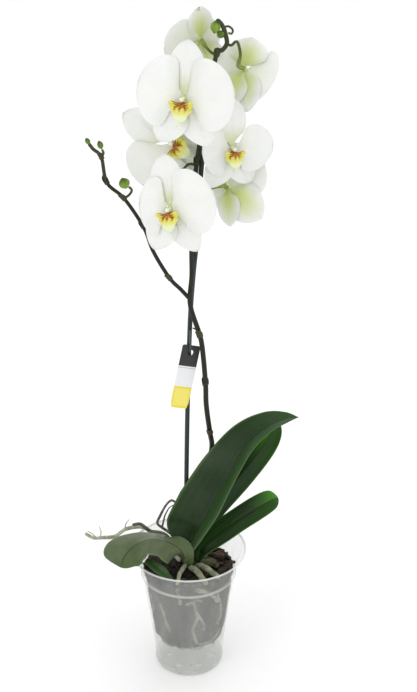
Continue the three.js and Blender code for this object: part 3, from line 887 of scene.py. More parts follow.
@dataclass(frozen=True)
class RootBall:
    """Bark and moss wedged in the pot, with chips on top and roots pressed to the wall.

    A wall root is its radius and a course of angles in degrees and heights. A big chip is its place,
    half its size, its tone, its share of moss and its seed.
    """

    pot: Pot
    bottom: float = 38.0
    top: float = 116.0
    facets: int = 144
    sharp: float = 60.0
    gap: float = 0.9
    root_gap: float = 0.15
    base: Sequence[tuple[float, float]] = ((0, 42), (12, 41.5), (22, 40.6), (30, 39.6), (35, 38.6))
    chips: int = 150
    chip_seed: int = 7
    chip_low: Triple = (2.2, 1.4, 0.7)
    chip_high: Triple = (5.4, 3.2, 1.7)
    big_chips: Sequence[tuple[Triple, Triple, float, float, float]] = (
        ((21, 0, 121), (9, 3.6, 3), 0.75, 0.8, 3.3), ((31, 12, 121.5), (7, 3.4, 2.4), 0.9, 0.1, 5.1))
    heap: Triple = (24, 14, 4.5)
    reach: float = 46.5
    fibre_seed: int = 11
    fibres: int = 60
    strands: int = 34
    wall_roots: Sequence[tuple[float, Sequence[tuple[float, float]]]] = (
        (2.3, ((-104, 120), (-101.5, 112), (-101, 104), (-102, 98))),
        (2.3, ((-80, 119), (-66, 114), (-58, 108), (-50, 100), (-46, 92))),
        (1.5, ((-93, 99), (-86, 102), (-78, 105), (-70, 101))),
        (1.8, ((-84, 104), (-80, 94), (-77, 82))),
        (1.9, ((-74, 84), (-79, 75), (-83, 65), (-81, 54), (-76, 43))),
        (1.5, ((-78, 86), (-71, 77), (-66, 68), (-66, 60))),
        (2.0, ((-132, 92), (-128, 80), (-124, 66), (-120, 56))),
        (1.4, ((-48, 106), (-40, 90), (-34, 74), (-40, 60))),
        (1.4, ((-74, 43), (-60, 41), (-44, 43), (-30, 50))),
        (1.9, ((20, 112), (34, 96), (30, 78), (42, 60))),
        (1.7, ((66, 114), (74, 98), (70, 80), (84, 62), (80, 46))),
        (2.0, ((112, 108), (120, 92), (114, 74), (128, 58))),
        (1.6, ((160, 112), (170, 94), (164, 76), (178, 62))),
        (1.4, ((-160, 100), (-152, 84), (-160, 66))),
        (1.5, ((-8, 104), (-16, 86), (-6, 68), (-14, 50))),
    )

    def build(self) -> None:
        """Makes the ball, what lies on it and hangs from it, and the roots in it."""
        draft = Draft()
        self.plug(draft)
        self.scatter(draft)
        self.loose_fibres(draft)
        add_piece(draft, "bark_ball", BarkFinish("bark"), Slot.BARK, "bark_and_soil", sharp=self.sharp)
        roots = Draft()
        for radius, course in self.wall_roots:
            line = [polar(self.pot.inner(z) - radius - self.root_gap, math.radians(a), z) for a, z in course]
            roots.tube(Line(line), radius, 2.0, 10, lambda s, a: 1 + 0.12 * np.sin(9 * s + a))
        pale = RootFinish("wall_root_skin", "#8d8f78", "#5c5a45", "#6f7850", 0)
        add_piece(roots, "wall_roots", pale, Slot.ROOT, "bark_and_soil")

    def plug(self, draft: Draft) -> None:
        """Adds the ball itself, dented all over."""
        side = np.linspace(self.bottom, self.top, 34)
        over = [(r, self.top + 0.6) for r in np.linspace(self.reach, 0, 22)]
        profile = np.array([*self.base, *((self.pot.inner(z) - self.gap, z) for z in side), *over])
        turn = circle(self.facets)
        r, z = np.repeat(profile[:, :1], self.facets, 1), np.repeat(profile[:, 1:], self.facets, 1)
        ring = np.stack([r * np.cos(turn), r * np.sin(turn), z], -1)
        # The sides are dented inwards only, so that the ball stays within the wall.
        dent = np.abs(bumps(ring, 0.11, 1)) * 2.4 + np.abs(bumps(ring, 0.35, 2)) * 0.8
        inner = (r - dent * np.clip(r / 20, 0, 1)) / np.maximum(r, TINY)
        ring[..., :2] *= inner[..., None]
        # The top is bumpy, and settles to a level edge where it meets the wall.
        upper = np.where(z > self.top - 1, 1.0, 0.0) * np.clip((49 - r) / 6, 0, 1)
        ring[..., 2] += upper * (bumps(ring, 0.16, 3) * 2.4 + bumps(ring, 0.5, 4) * 0.8 - 0.8)
        tone = np.clip(0.08 + 0.3 * bumps(ring, 0.2, 5), 0, 1)
        draft.grid(ring, closed=True, fresh=tone)

    def chip(self, draft: Draft, at: Sequence[float], half: Sequence[float], turn: Matrix, tone: float,
             moss: float, seed: float) -> None:
        """Adds one broken chip of bark, blocky with split edges.

        Args:
            draft: Where it goes.
            at: Its middle.
            half: Half its length, width and height.
            turn: How it lies.
            tone: How pale it is, from 0 to 1.
            moss: How mossy it is, from 0 to 1.
            seed: Which of the noise's shapes it has.
        """
        u, v = np.linspace(-math.pi / 2, math.pi / 2, 8)[:, None], circle(12)[None, :]
        ball = (np.cos(u) * np.cos(v), np.cos(u) * np.sin(v), np.sin(u))
        body = np.stack([np.sign(b) * np.abs(b) ** 0.45 for b in np.broadcast_arrays(*ball)], -1)
        body = body * np.array(half) * (1 + 0.28 * bumps(body * 2.0, 0.9, seed))[..., None]
        draft.grid(body @ np.array(turn.to_3x3()).T + np.array(at), closed=True, fresh=tone, zone=moss)

    def scatter(self, draft: Draft) -> None:
        """Adds the chips on top, heaped a little behind and to the right."""
        rng = np.random.default_rng(self.chip_seed)
        heap_x, heap_y, heap_z = self.heap
        for number in range(self.chips):
            r, angle = 46.0 * math.sqrt(rng.uniform(0.04, 0.98)), rng.uniform(0, 2 * math.pi)
            x, y, z = polar(r, angle, self.top + 0.2)
            z += heap_z * math.exp(-((x - heap_x) ** 2 + (y - heap_y) ** 2) / 320)
            half = rng.uniform(self.chip_low, self.chip_high)
            tilt = Matrix.Rotation(rng.uniform(0, 6.28), 4, "Z") @ Matrix.Rotation(rng.normal(0, 0.4), 4, "X")
            tone = rng.uniform(0.05, 0.45) if x < 8 else rng.uniform(0.2, 1.0)
            z += rng.uniform(0, 1.2)
            self.chip(draft, (x, y, z), half, tilt, tone, float(rng.uniform() > 0.9), number * 1.7)
        lie = Matrix.Rotation(math.radians(14), 4, "Z") @ Matrix.Rotation(0.25, 4, "Y")
        for at, half, tone, moss, seed in self.big_chips:
            self.chip(draft, at, half, lie, tone, moss, seed)

    def loose_fibres(self, draft: Draft) -> None:
        """Adds fibres on top and thin strands that hang below the ball."""
        rng = np.random.default_rng(self.fibre_seed)
        for _ in range(self.fibres):
            r, angle = 44 * math.sqrt(rng.uniform(0.05, 0.95)), rng.uniform(0, 6.28)
            start = np.array(polar(r, angle, self.top + 1.2))
            step = rng.normal(0, 4.5, (3, 3)) * (1, 1, 0.22)
            course = [start, start + step[0] + (0, 0, 1.6), start + step[:2].sum(0) + (0, 0, 1.8),
                      start + step.sum(0)]
            fit = min(1, self.reach / max(math.hypot(*p[:2]) for p in course))
            draft.tube(Line([tuple(p * (fit, fit, 1)) for p in course]), rng.uniform(0.25, 0.5), 1.6, 6,
                       fresh=float(rng.uniform(0.1, 0.9)))
        for _ in range(self.strands):
            angle = rng.uniform(-2.6, -0.4) if rng.uniform() < 0.6 else rng.uniform(0, 6.28)
            drop = rng.uniform(3, 9)
            course = []
            for k in range(4):
                z = 41.5 - drop * math.sin(math.pi * k / 3)
                course.append(polar(self.pot.inner(z) - 1.4 - rng.uniform(0, 2.4), angle, z))
                angle += rng.uniform(0.04, 0.16)
            draft.tube(Line(course), rng.uniform(0.3, 0.7), 1.6, 6, fresh=float(rng.uniform(0.1, 1.0)),
                       zone=float(rng.uniform() > 0.5))


# ------------------------------------------------------------------ leaves and crown


@dataclass(frozen=True)
class Leaf:
    """A strap leaf, folded along its midrib.

    Its up directions are spread evenly along it, and fold and skew go from base to tip: fold is how
    far each half rises, in degrees, and skew how much wider one half is than the other.
    """

    node: str
    name: str
    midrib: Sequence[Triple]
    up: Sequence[Triple]
    width: float
    fold: tuple[float, float]
    base: float
    widest: float
    taper: float
    point: tuple[float, float] = (2, 0.5)
    skew: tuple[float, float] = (0, 0)
    bow: float = 0.0
    finish: LeafFinish = LeafFinish("leaf_skin")
    rows: int = 88
    columns: int = 37
    crease: float = 0.04
    ripple: float = 0.012
    edge: float = 0.45
    swell: float = 1.75
    keel: float = 0.9

    def half_width(self, s: np.ndarray) -> np.ndarray:
        """Gives half the leaf's width at shares s of its length."""
        swell = between(self.base, 1, np.sin(np.minimum(s / self.widest, 1) * math.pi / 2) ** 1.2)
        past = np.maximum((s - self.taper) / (1 - self.taper), 0)
        return self.width * swell * np.maximum(1 - past ** self.point[0], 0) ** self.point[1]

    def build(self) -> None:
        """Makes the leaf."""
        s = 1 - (1 - np.linspace(0, 1, self.rows)) ** 1.7
        t = lattice(self.rows, self.columns)[1]
        line = Line(self.midrib)
        along = line.heading(s)
        # The up directions are blended along the leaf and squared to the midrib.
        ups = np.array(self.up, float)
        share = s * (len(ups) - 1)
        low = np.minimum(share.astype(int), len(ups) - 2)
        up = ups[low] + (ups[low + 1] - ups[low]) * (share - low)[:, None]
        up = unit(up - along * (up * along).sum(1, keepdims=True))
        side = np.cross(along, up)
        width = self.half_width(s)[:, None] * (1 + between(*self.skew, s)[:, None] * t)
        fold = np.radians(between(*self.fold, s))[:, None]
        # Each half rises from a rounded crease, and slow waves run along the edges.
        rise = np.sqrt(t * t + self.crease**2) - self.crease * (1 - np.abs(t))
        ripple = self.ripple * np.abs(t) ** 2 * np.sin(15 * s[:, None] + 2.4 * np.sign(t) + len(self.name))
        lift = width * (rise * np.sin(fold) - self.bow * t * t + ripple)
        middle = (line.at(s)[:, None] + side[:, None] * (width * t * np.cos(fold))[..., None]
                  + up[:, None] * lift[..., None])
        thick = (self.edge + self.swell * (1 - t * t) ** 0.6) * np.clip((1 - s[:, None]) * 9, 0.3, 1)
        keel = self.keel * np.exp(-((t / 0.06) ** 2)) * (1 - s[:, None])
        draft = Draft()
        draft.blade(middle, thick + keel, front=-1.0, along=s[:, None], across=t)
        add_piece(draft, self.name, self.finish, Slot.LEAF, self.node)


LEAVES = (
    Leaf("leaf_large", "large_leaf",
         ((0.5, 3, 132.6), (4.5, 0.5, 147), (12, 0, 164), (25, 6, 186), (43, 18, 219), (62, 34, 244),
          (83, 47, 257), (103, 58, 260), (116, 65, 259)),
         ((-0.6, -0.5, 0.5), (-0.6, -0.58, 0.5), (-0.35, -0.55, 0.8)), 33, (46, 20), 0.35, 0.2, 0.36,
         (1.15, 1), (-0.08, -0.36), 0.1,
         LeafFinish("large_leaf_skin", "#142b0b", "#1f4413", dust_and_sheen_share=0.05, painted_lit_half="#2b4a22")),
    Leaf("leaf_back", "back_leaf",
         ((10, 4, 127), (16, 16, 147), (32, 34, 172), (58, 47, 203), (81, 58, 232), (94, 70, 252)),
         ((-0.5, -0.7, 0.5), (-0.4, -0.6, 0.7)), 19, (30, 6), 0.25, 0.6, 0.62, (2.2, 0.5),
         finish=LeafFinish("back_leaf_skin", "#11220a", "#3f7d1e", dust_and_sheen_share=0.02, painted_lit_half="#1c3a10")),
    Leaf("leaf_right", "right_leaf",
         ((10.8, -4.4, 127.2), (16, -2, 140), (38, 2, 158), (62, 8, 174), (84, 12, 188), (93, 14, 192)),
         ((-0.5, -0.6, 0.7), (-0.3, -0.5, 0.9)), 14.8, (26, 6), 0.4, 0.45, 0.62,
         finish=LeafFinish("right_leaf_skin", "#11220a", "#43831f", dust_and_sheen_share=0.02, painted_lit_half="#142a0c")),
    Leaf("leaf_left", "left_leaf",
         ((-5.5, -4.9, 126), (-4.4, -20, 137), (-3.6, -29, 149), (-10, -32, 160.5), (-24, -28.5, 165.5),
          (-40, -24.5, 164.5), (-55, -27, 158), (-64, -33, 150), (-68.5, -39, 142)),
         ((-0.5, -0.8, 0.1), (-0.45, -0.85, -0.1), (-0.3, -0.85, 0.2), (0.1, -0.55, 0.8), (0, 0.1, 1),
          (0, 0.1, 1), (-0.2, -0.1, 0.95), (-0.3, -0.4, 0.8), (-0.3, -0.6, 0.7)), 27, (-25, 6), 0.14, 0.92,
         0.78, skew=(-0.36, 0.3), bow=0.1,
         # The left leaf's paler, greyer colours are a painted sheen over its top, with some dust.
         finish=LeafFinish("left_leaf_skin", "#3f4d2b", "#44582e", "#3a5a26", "#727b60", 0.42, "#4c5a38",
                           0.34)),
    Leaf("leaf_small", "small_leaf", ((-16, -30, 117.6), (-24, -34, 130), (-34, -33, 139), (-43, -28, 143)),
         ((0.3, -0.4, 0.9), (0.3, -0.5, 0.8)), 6, (20, 8), 0.5, 0.45, 0.5,
         finish=LeafFinish("small_leaf_skin", "#33502a", "#3c6030", dust_and_sheen_share=0.15, painted_lit_half="#3a5a30")),
)


@dataclass(frozen=True)
class Crown:
    """The short green stem, sheathed by old leaf bases, with one young root."""

    radius: float = 6.0
    stem: Sequence[Triple] = ((0, 0, 117.3), (0.2, 0, 124), (0, 0.3, 131.5))
    root: Sequence[Triple] = ((-2.6, -3.6, 120.5), (-6, -13, 121.6), (-9, -22, 121), (-11, -38, 119.5))
    root_radius: float = 2.4

    def build(self) -> None:
        """Makes the stem with its sheaths, and the root."""
        draft = Draft()

        def sheaths(s: np.ndarray, a: np.ndarray) -> np.ndarray:
            """Gives the folds of the old leaf bases."""
            return 1 + 0.05 * np.cos(2 * a + 1) + 0.05 * np.abs(np.sin(9 * s + 0.6 * np.sin(a)))

        draft.tube(Line(self.stem), lambda s: self.radius * (1 - 0.25 * s**3), 0.6, 40, sheaths,
                   fresh=lambda s: 0.55 + 0.35 * s)
        green = StemFinish("crown_skin", "#2c3a1c", "#4c6630", "#7d9a48")
        add_piece(draft, "crown_stem", green, Slot.LEAF, "crown")
        young = Draft()
        young.tube(Line(self.root), lambda s: self.root_radius - 0.5 * s, 1.2, 14,
                   lambda s, a: 1 + 0.06 * np.sin(14 * s + a))
        pale = RootFinish("young_root_skin", "#c3c8a8", "#98a17a", "#8aa45c", 0.6)
        add_piece(young, "young_root", pale, Slot.ROOT, "crown")


# ------------------------------------------------------------------ flowers


WIDEST = 31  # half the width of a plain petal
SWEPT = 45  # distance from the middle at which a tepal has swept back by its sweep


@dataclass(frozen=True)
class Tepal:
    """One petal or sepal: its angle round the flower and its outline."""

    angle: float
    length: float
    width: float
    widest: float
    round: float
    claw: float
    level: float
    sweep: float = 6.0
    tilt: float = 0.0
    ring: float = 3.1
    root: float = 2.4
    ripple: float = 0.42
    cup: float = 0.7
    groove: float = 0.5
    thin: float = 0.22
    fleshy: float = 0.6
    rows: int = 46
    columns: int = 27

    def draw(self, draft: Draft, to_frame: Callable[[np.ndarray], np.ndarray], wave: float) -> None:
        """Adds the tepal to a draft.

        Args:
            draft: Where it goes.
            to_frame: Turns points of the flower into points of the plant.
            wave: Where the waves of its edge start.
        """
        s, t = lattice(self.rows, self.columns)
        # The outline is stretched until it is widest at its share, and narrows to a claw.
        stretch = s ** (math.log(0.5) / math.log(self.widest))
        outline = np.maximum(np.sin(math.pi * stretch), 0) ** self.round
        opening = between(self.claw, 1, ease(s / 0.27))
        half = self.width * outline * opening + self.root * (1 - ease(s / 0.3)) * (1 - s)
        angle, tilt = math.radians(self.angle), math.radians(self.tilt)
        out, face = np.array([math.cos(angle), math.sin(angle), 0]), np.array([0, 0, 1.0])
        across = np.array([-math.sin(angle), math.cos(angle), 0])
        along = out * math.cos(tilt) + face * math.sin(tilt)
        normal = face * math.cos(tilt) - out * math.sin(tilt)
        notch = 1 - 0.012 * np.exp(-((t / 0.3) ** 2)) * ease((s - 0.85) / 0.15)
        x, y = self.ring + self.length * s * notch, half * t
        # The surface is cupped, swept back, waved along its edge and grooved down its middle.
        height = self.level * between(0.5, 1, ease(s / 0.14)) - self.sweep * (x * x + y * y) / SWEPT**2
        height = height + self.cup * (1 - np.cos(math.pi * s)) * t * t
        swing = np.sin(8.5 * s + wave + 1.9 * np.sign(t)) + 0.5 * np.sin(17 * s + 2 * wave)
        height = height + self.ripple * swing * np.abs(t) ** 2.5 * ease(s / 0.4) * (self.width / WIDEST)
        height = height - self.groove * np.exp(-((t / 0.09) ** 2)) * np.sin(math.pi * s)
        middle = (out * self.ring + along * (self.length * s * notch)[..., None] + across * y[..., None]
                  + normal * height[..., None])
        thick = (self.thin + self.fleshy * (1 - t * t) ** 0.7) * between(1.5, 0.8, s)
        draft.blade(to_frame(middle), thick, along=s, across=t)


SEPAL = {"length": 43, "width": 15.5, "widest": 0.45, "round": 0.6, "claw": 0.2}
PETAL = {"length": 41, "width": WIDEST, "widest": 0.44, "round": 0.45, "claw": 0.12, "level": 1.3}
TEPALS = {
    "dorsal_sepal": {**SEPAL, "angle": 90, "length": 46, "width": 16, "widest": 0.52, "level": -1.2,
                     "sweep": 5},
    "left_sepal": {**SEPAL, "angle": 240, "level": -0.9},
    "right_sepal": {**SEPAL, "angle": 300, "level": -2.7},
    "left_petal": {**PETAL, "angle": 167},
    "right_petal": {**PETAL, "angle": 13},
}
DRY_TIPPED = (2, "dorsal_sepal")


@dataclass(frozen=True)
class Flower:
    """A flower: where it sits, where it looks and how its tepals differ from the plain ones.

    The lip's tongue, tails and callus are lines in the flower's own frame, where the face looks
    along +Z and the dorsal sepal points along +Y.
    """

    number: int
    place: Triple
    face: Triple
    size: float
    roll: float
    stalk: Sequence[Triple]
    shape: dict[str, dict[str, float]] = field(default_factory=dict)
    back: float = 0.55
    neck: float = 13.0
    tongue: Sequence[Triple] = ((0, -2.9, 1.4), (0, -5, 6), (0, -10, 10.5), (0, -16, 11), (0, -20, 8))
    tail: Sequence[Triple] = ((0.8, -19.4, 8.4), (1.6, -21.4, 8.2), (2.6, -22.4, 9.6), (2.8, -21.4, 11))
    callus: Sequence[Triple] = ((0.3, -5.6, 4.6), (0.9, -5.2, 6.8), (1.4, -5.6, 9.4))
    disc: float = 4.4

    def to_frame(self, points: np.ndarray) -> np.ndarray:
        """Turns points of the flower, with its face along +Z, into points of the plant."""
        face = Vector(self.face).normalized()
        up = (Vector((0, 0, 1)) - face * face.z).normalized()
        up = Matrix.Rotation(math.radians(self.roll), 3, face) @ up
        basis = np.array([up.cross(face), up, face])
        return points * self.size @ basis + np.array(self.place)

    def course(self, points: Sequence[Triple], sign: int = 1) -> Line:
        """Gives the plant's line through points of the flower, mirrored if the sign is -1."""
        return Line([tuple(p) for p in self.to_frame(np.array([(x * sign, y, z) for x, y, z in points]))])

    def axis(self, height: float) -> Triple:
        """Gives a point on the flower's axis."""
        return self.course([(0, 0, height)]).through[0]

    def build(self) -> None:
        """Makes the tepals, the lip, the column and the stalk."""
        for order, (part, plain) in enumerate(TEPALS.items()):
            draft = Draft()
            tepal = Tepal(**{**plain, **self.shape.get(part, {})})
            tepal.draw(draft, self.to_frame, self.number * 2.1 + order * 1.3)
            self.piece(draft, part, self.tissue(part), Slot.PETAL)
        self.lip()
        self.column()

    def piece(self, draft: Draft, part: str, finish: Finish, slot: Slot) -> None:
        """Makes one part of the flower; its column and stalk belong to the spike's node."""
        node = "flower_spike" if part in ("column", "stalk") else f"flower_{self.number}_{part}"
        add_piece(draft, f"bloom_{self.number}_{part}", finish, slot, node)

    def tissue(self, part: str) -> PetalFinish:
        """Gives the finish of a petal or sepal; one sepal has a dry tip."""
        if part.endswith("petal"):
            return PetalFinish("petal_tissue", 0.16, 0.2)
        tip = 0.8 if (self.number, part) == DRY_TIPPED else 0.0
        name = f"sepal_tissue_{int(self.back * 100)}{'_tipped' if tip else ''}"
        return PetalFinish(name, 0.55, self.back, tip)

    def lip(self) -> None:
        """Makes the lip: a keeled tongue with two tails, two side lobes and a forked callus."""
        draft = Draft()
        s, t = lattice(34, 19)
        shoulder = 3.0 * np.exp(-(((s - 0.42) / 0.13) ** 2))
        half = 2 + 4.6 * np.sin(math.pi * s) ** 0.8 + shoulder - 2 * s**3
        half = half * np.clip((1 - s) * 14, 0, 1) ** 0.5
        x = half * t
        # The tongue bends down at its sides and has a keel along its middle.
        dip = -2 * t * t * np.sin(math.pi * s) + 0.9 * np.exp(-((t / 0.12) ** 2)) * (1 - s)
        middle = Line(self.tongue).at(s[:, 0])[:, None] + np.stack([x, 0 * x, dip], -1)
        full = np.ones_like(s)
        draft.blade(self.to_frame(middle), (0.35 + 0.9 * (1 - t * t)) * full, along=s, across=t)
        for sign in (1, -1):
            # A side lobe stands up beside the throat and curls in at its edges.
            width = np.maximum(np.sin(math.pi * between(0.16, 1, s)), 0) ** 0.5
            curl = 1.2 * t * np.abs(t) * np.sin(math.pi * s)
            lobe = np.stack(np.broadcast_arrays(
                sign * (0.8 + 10.2 * s + curl), -6.2 + 2.6 * s * s + 1.2 * s + 4.7 * width * t,
                6.2 + 2.8 * width * t + 3.2 * s + 1.6 * width * t * t), -1)
            thick = (0.3 + 0.7 * (1 - t * t)) * full
            draft.blade(self.to_frame(lobe), thick, along=s * 0.8, across=t, zone=1.0)
            draft.tube(self.course(self.tail, sign), lambda q: 0.45 * (1 - 0.6 * q), 0.5, 8, zone=3.0)
            draft.tube(self.course(self.callus, sign), 1.25, 0.5, 12, zone=2.0)
        self.piece(draft, "lip", LipFinish("lip_tissue"), Slot.LIP)

    def column(self) -> None:
        """Makes the column with its cap, and the ribbed stalk behind the flower."""
        draft = Draft()
        axis = [(0, lean, height) for lean, height in ((0, -3), (0.3, 2), (0.5, 6), (-0.2, 8.8))]

        def girth(s: np.ndarray) -> np.ndarray:
            """Gives the column's radius, narrow below its cap and swollen at it."""
            cap, waist = np.exp(-(((s - 0.86) / 0.12) ** 2)), np.exp(-(((s - 0.7) / 0.05) ** 2))
            return self.size * (1.5 + 0.3 * s + 0.4 * cap - 0.3 * waist)

        draft.tube(self.course(axis), girth, 0.35, 24)
        disc = self.course([(0, 0, height) for height in (-1.7, -0.4, 0.9)])
        draft.tube(disc, self.disc * self.size, 0.3, 24, along=0.1)
        self.piece(draft, "column", ColumnFinish("column_tissue"), Slot.PETAL)
        stalk = Draft()
        course = Line([*self.stalk, self.axis(-self.neck), self.axis(-3), self.axis(-1)])
        stalk.tube(course, lambda s: 1.3 + 0.75 * ease((s - 0.45) / 0.3), 1.5, 18,
                   lambda s, a: 1 + 0.08 * np.cos(3 * a) * ease((s - 0.5) / 0.3),
                   fresh=lambda s: 0.2 + 0.7 * ease(s * 1.2))
        green = StemFinish("stalk_skin", "#262c18", "#56662e", "#9aae58")
        self.piece(stalk, "stalk", green, Slot.STEM)


FLOWERS = (
    Flower(1, (0, -42, 623), (-0.28, -1, 0.08), 1, -2, ((19.5, 14, 598), (16, 2, 606), (8, -14, 618))),
    Flower(2, (14, 22, 661), (-0.35, 0.85, 0.35), 0.9, 0, ((28, 10, 650), (24, 7, 652)),
           {"left_petal": {"angle": 162, "tilt": 6, "length": 19, "width": 19},
            "right_petal": {"angle": -8, "length": 36, "width": 27},
            "dorsal_sepal": {"angle": 78, "length": 36, "width": 12.5},
            "left_sepal": {"length": 34}, "right_sepal": {"length": 34}}, 0.9),
    Flower(3, (53, 16.5, 636), (0.45, 0.8, -0.4), 0.95, 0,
           ((37, 6, 660), (41, 5, 659), (46, 6, 662), (49, 4.5, 651)),
           {"left_petal": {"angle": 213, "length": 31, "width": 31, "claw": 0.6, "widest": 0.4},
            "right_petal": {"angle": 12, "length": 26, "width": 22},
            "dorsal_sepal": {"angle": 96, "length": 26, "width": 21, "claw": 0.6, "widest": 0.46},
            "left_sepal": {"angle": 250, "length": 39.5}, "right_sepal": {"angle": 288, "length": 40}}, 0.9),
    Flower(4, (-13, 24, 567), (0, -1, -0.05), 1.04, 60, ((16, 17, 586), (17, 30, 588), (9, 44, 582)),
           {"left_petal": {"angle": 181, "length": 47}, "right_petal": {"angle": 25, "width": 26}}),
    Flower(5, (-13, -40, 524), (-0.35, -0.93, 0.05), 0.98, 10, ((9, 16, 548), (1, 9, 549), (-10, -8, 536)),
           {"left_petal": {"length": 28, "width": 27}, "left_sepal": {"angle": 236},
            "right_sepal": {"angle": 292}}),
    Flower(6, (42, -16, 572.6), (0.35, -0.93, 0), 0.9, 0, ((15, 16, 571), (22, 15, 576), (32, 11, 575)),
           {"left_petal": {"angle": 184, "width": 26, "length": 28},
            "right_petal": {"angle": -6, "width": 24, "length": 43}}),
    Flower(7, (38.5, 10, 527.5), (0.4, 0.75, -0.4), 0.98, -46, ((8, 16, 522), (14, 7, 524), (23, -2, 531)),
           {"left_sepal": {"angle": 253, "width": 18.5, "length": 47},
            "right_sepal": {"angle": 294, "width": 11.5, "length": 35},
            "right_petal": {"width": 17, "length": 17},
            "dorsal_sepal": {"width": 13, "length": 26}}, 0.9),
)


# ------------------------------------------------------------------ spike and branch


@dataclass(frozen=True)
class Bud:
    """A closed bud with three seams."""

    at: Triple
    axis: Triple
    length: float
    width: float
    fresh: float = 0.9

    def girth(self, s: np.ndarray) -> np.ndarray:
        """Gives the bud's radius at shares s of its length."""
        return self.width / 2 * (0.25 + 0.75 * np.sin(math.pi * np.clip(s, 0.02, 0.98)) ** 0.8)

    def draw(self, draft: Draft) -> None:
        """Adds the bud to a draft."""
        along = Vector(self.axis).normalized()
        ends = [tuple(Vector(self.at) + along * self.length * k) for k in (-0.5, 0, 0.5)]
        draft.tube(Line(ends), self.girth, 0.5, 30,
                   lambda s, a: 1 - 0.07 * np.exp(-((np.cos(1.5 * a) / 0.2) ** 2)) * np.sin(math.pi * s),
                   fresh=lambda s: self.fresh - 0.45 * ease((s - 0.55) / 0.5))


@dataclass(frozen=True)
class Stem:
    """A flower stem with rings and scales where it branches.

    Its radius and its fresh mark go from its foot to its end.
    """

    name: str
    node: str
    line: Sequence[Triple]
    rings: Sequence[Triple]
    radius: tuple[float, float]
    fresh: tuple[float, float]
    twigs: Sequence[Sequence[Triple]]
    twig_radius: float
    buds: Sequence[Bud]
    samples: int = 800
    ring_height: float = 2.4
    ring_swell: float = 0.75
    scale_length: float = 9.0
    scale_thickness: float = 0.35

    def build(self) -> None:
        """Makes the stem, its rings and scales, its twigs and its buds."""
        draft = Draft()
        line = Line(self.line)
        thick, thin = self.radius
        draft.tube(line, lambda s: between(thick, thin, s), 2.5, 20,
                   lambda s, a: 1 + 0.03 * np.sin(3 * a + 20 * s), fresh=lambda s: between(*self.fresh, s**4))
        samples = np.linspace(0, 1, self.samples)
        course = line.at(samples)
        for order, ring in enumerate(self.rings):
            # A ring sits at the stem's nearest point to its place.
            k = int(np.argmin(np.linalg.norm(course - ring, axis=1)))
            way = line.heading(samples[k : k + 1])[0]
            here, girth = course[k], between(thick, thin, samples[k])
            swell = Line([tuple(here + way * step) for step in (-self.ring_height, 0, self.ring_height)])
            fat = girth + self.ring_swell
            draft.tube(swell, lambda s: fat * (0.8 + 0.2 * np.sin(math.pi * s)), 0.5, 20,
                       fresh=float(between(*self.fresh, samples[k] ** 4)),
                       zone=lambda s: 0.5 + 0.5 * np.cos(9 * s))
            self.scale(draft, here, way, girth, order)
        for twig in self.twigs:
            draft.tube(Line(twig), self.twig_radius, 1.0, 12, fresh=lambda s: 0.3 + 0.4 * s)
        add_piece(draft, self.name, StemFinish("spike_skin"), Slot.STEM, self.node)
        tips = Draft()
        for bud in self.buds:
            bud.draw(tips)
        green = StemFinish("bud_skin", "#2a3517", "#4f6826", "#88a63a")
        add_piece(tips, f"{self.name}_buds", green, Slot.STEM, self.node)

    def scale(self, draft: Draft, here: np.ndarray, way: np.ndarray, girth: float, order: int) -> None:
        """Adds the papery scale that clasps the stem above a ring.

        Args:
            draft: Where it goes.
            here: The middle of the ring.
            way: The stem's direction there.
            girth: The stem's radius there.
            order: The ring's number, which says on what side the scale is.
        """
        s, t = np.linspace(0, 1, 12)[:, None], np.linspace(-1, 1, 17)[None, :]
        side = unit(np.cross(way, [0.2, (-1) ** order, 0.1]))
        front = np.cross(way, side)
        angle = 1.9 * t * (1 - s**2.2)
        reach = girth + 0.55 + 1.1 * s**2
        points = (here + way * (s * self.scale_length - 1.5 + 0 * t)[..., None]
                  + side * (reach * np.sin(angle))[..., None] + front * (reach * np.cos(angle))[..., None])
        thick = np.full(points.shape[:2], self.scale_thickness)
        draft.blade(points, thick, along=s, across=t, fresh=0.2, zone=0.9)


SPIKE = Stem(
    "main_spike", "flower_spike",
    ((3, 8.7, 119), (2, 14, 145), (9, 26, 178), (18, 38, 206), (23.6, 44, 228), (24.6, 43, 240),
     (22.5, 32, 259.5), (18.8, 17.5, 298), (18, 14.5, 324), (15, 14, 362), (12, 15, 378), (5, 17, 400),
     (3, 18, 414), (5, 19, 437), (5, 19, 463), (6, 17, 500), (9, 16, 541), (15, 16, 579), (22, 13, 615),
     (28, 10, 650), (33, 8, 654), (37, 6, 660), (36, 3, 668), (33, -1, 677), (28, -4, 683)),
    ((22.5, 32, 259.5), (18, 14.5, 324), (13, 15, 376), (9, 16, 548), (28, 10, 650)),
    (2.9, 2.0), (0.05, 0.42),
    (((34, 0, 675), (38, 2, 676), (42, 2, 673), (41, 2, 669.5), (38, 2, 670.5)),), 0.95,
    (Bud((27, -4, 676.5), (0.2, 0.1, 1), 12, 9), Bud((31.5, 0, 669.5), (0.6, 0.2, -0.5), 8.5, 7, 0.7)),
)
BRANCH = Stem(
    "side_branch_stem", "side_branch",
    ((2.6, 18, 413.5), (-6, 17, 424), (-16, 15, 436), (-31, 12, 464), (-40, 10, 490), (-57, 8, 518),
     (-72, 5, 534), (-76, 2, 559), (-83, 0, 567), (-87, -1, 573)),
    ((-16, 15, 436), (-40, 10, 490), (-57, 8, 518), (-72, 5, 534), (-76, 2, 559)), (2.0, 1.6), (0.05, 0.45),
    (((-57, 8, 518), (-52, 7, 522), (-49.5, 5, 527), (-52, 3, 531)),
     ((-76, 2, 559), (-74, 1, 563), (-75, 0, 567))), 1.2,
    (Bud((-56, 2, 534.5), (-0.3, -0.2, 0.8), 12, 10.4), Bud((-76.5, 0, 571), (-0.3, 0, 1), 8.5, 5.6, 0.75),
     Bud((-87.5, -2, 575), (-0.5, 0, 1), 7, 4.6, 0.7)),
)


# ------------------------------------------------------------------ stake, clip and label


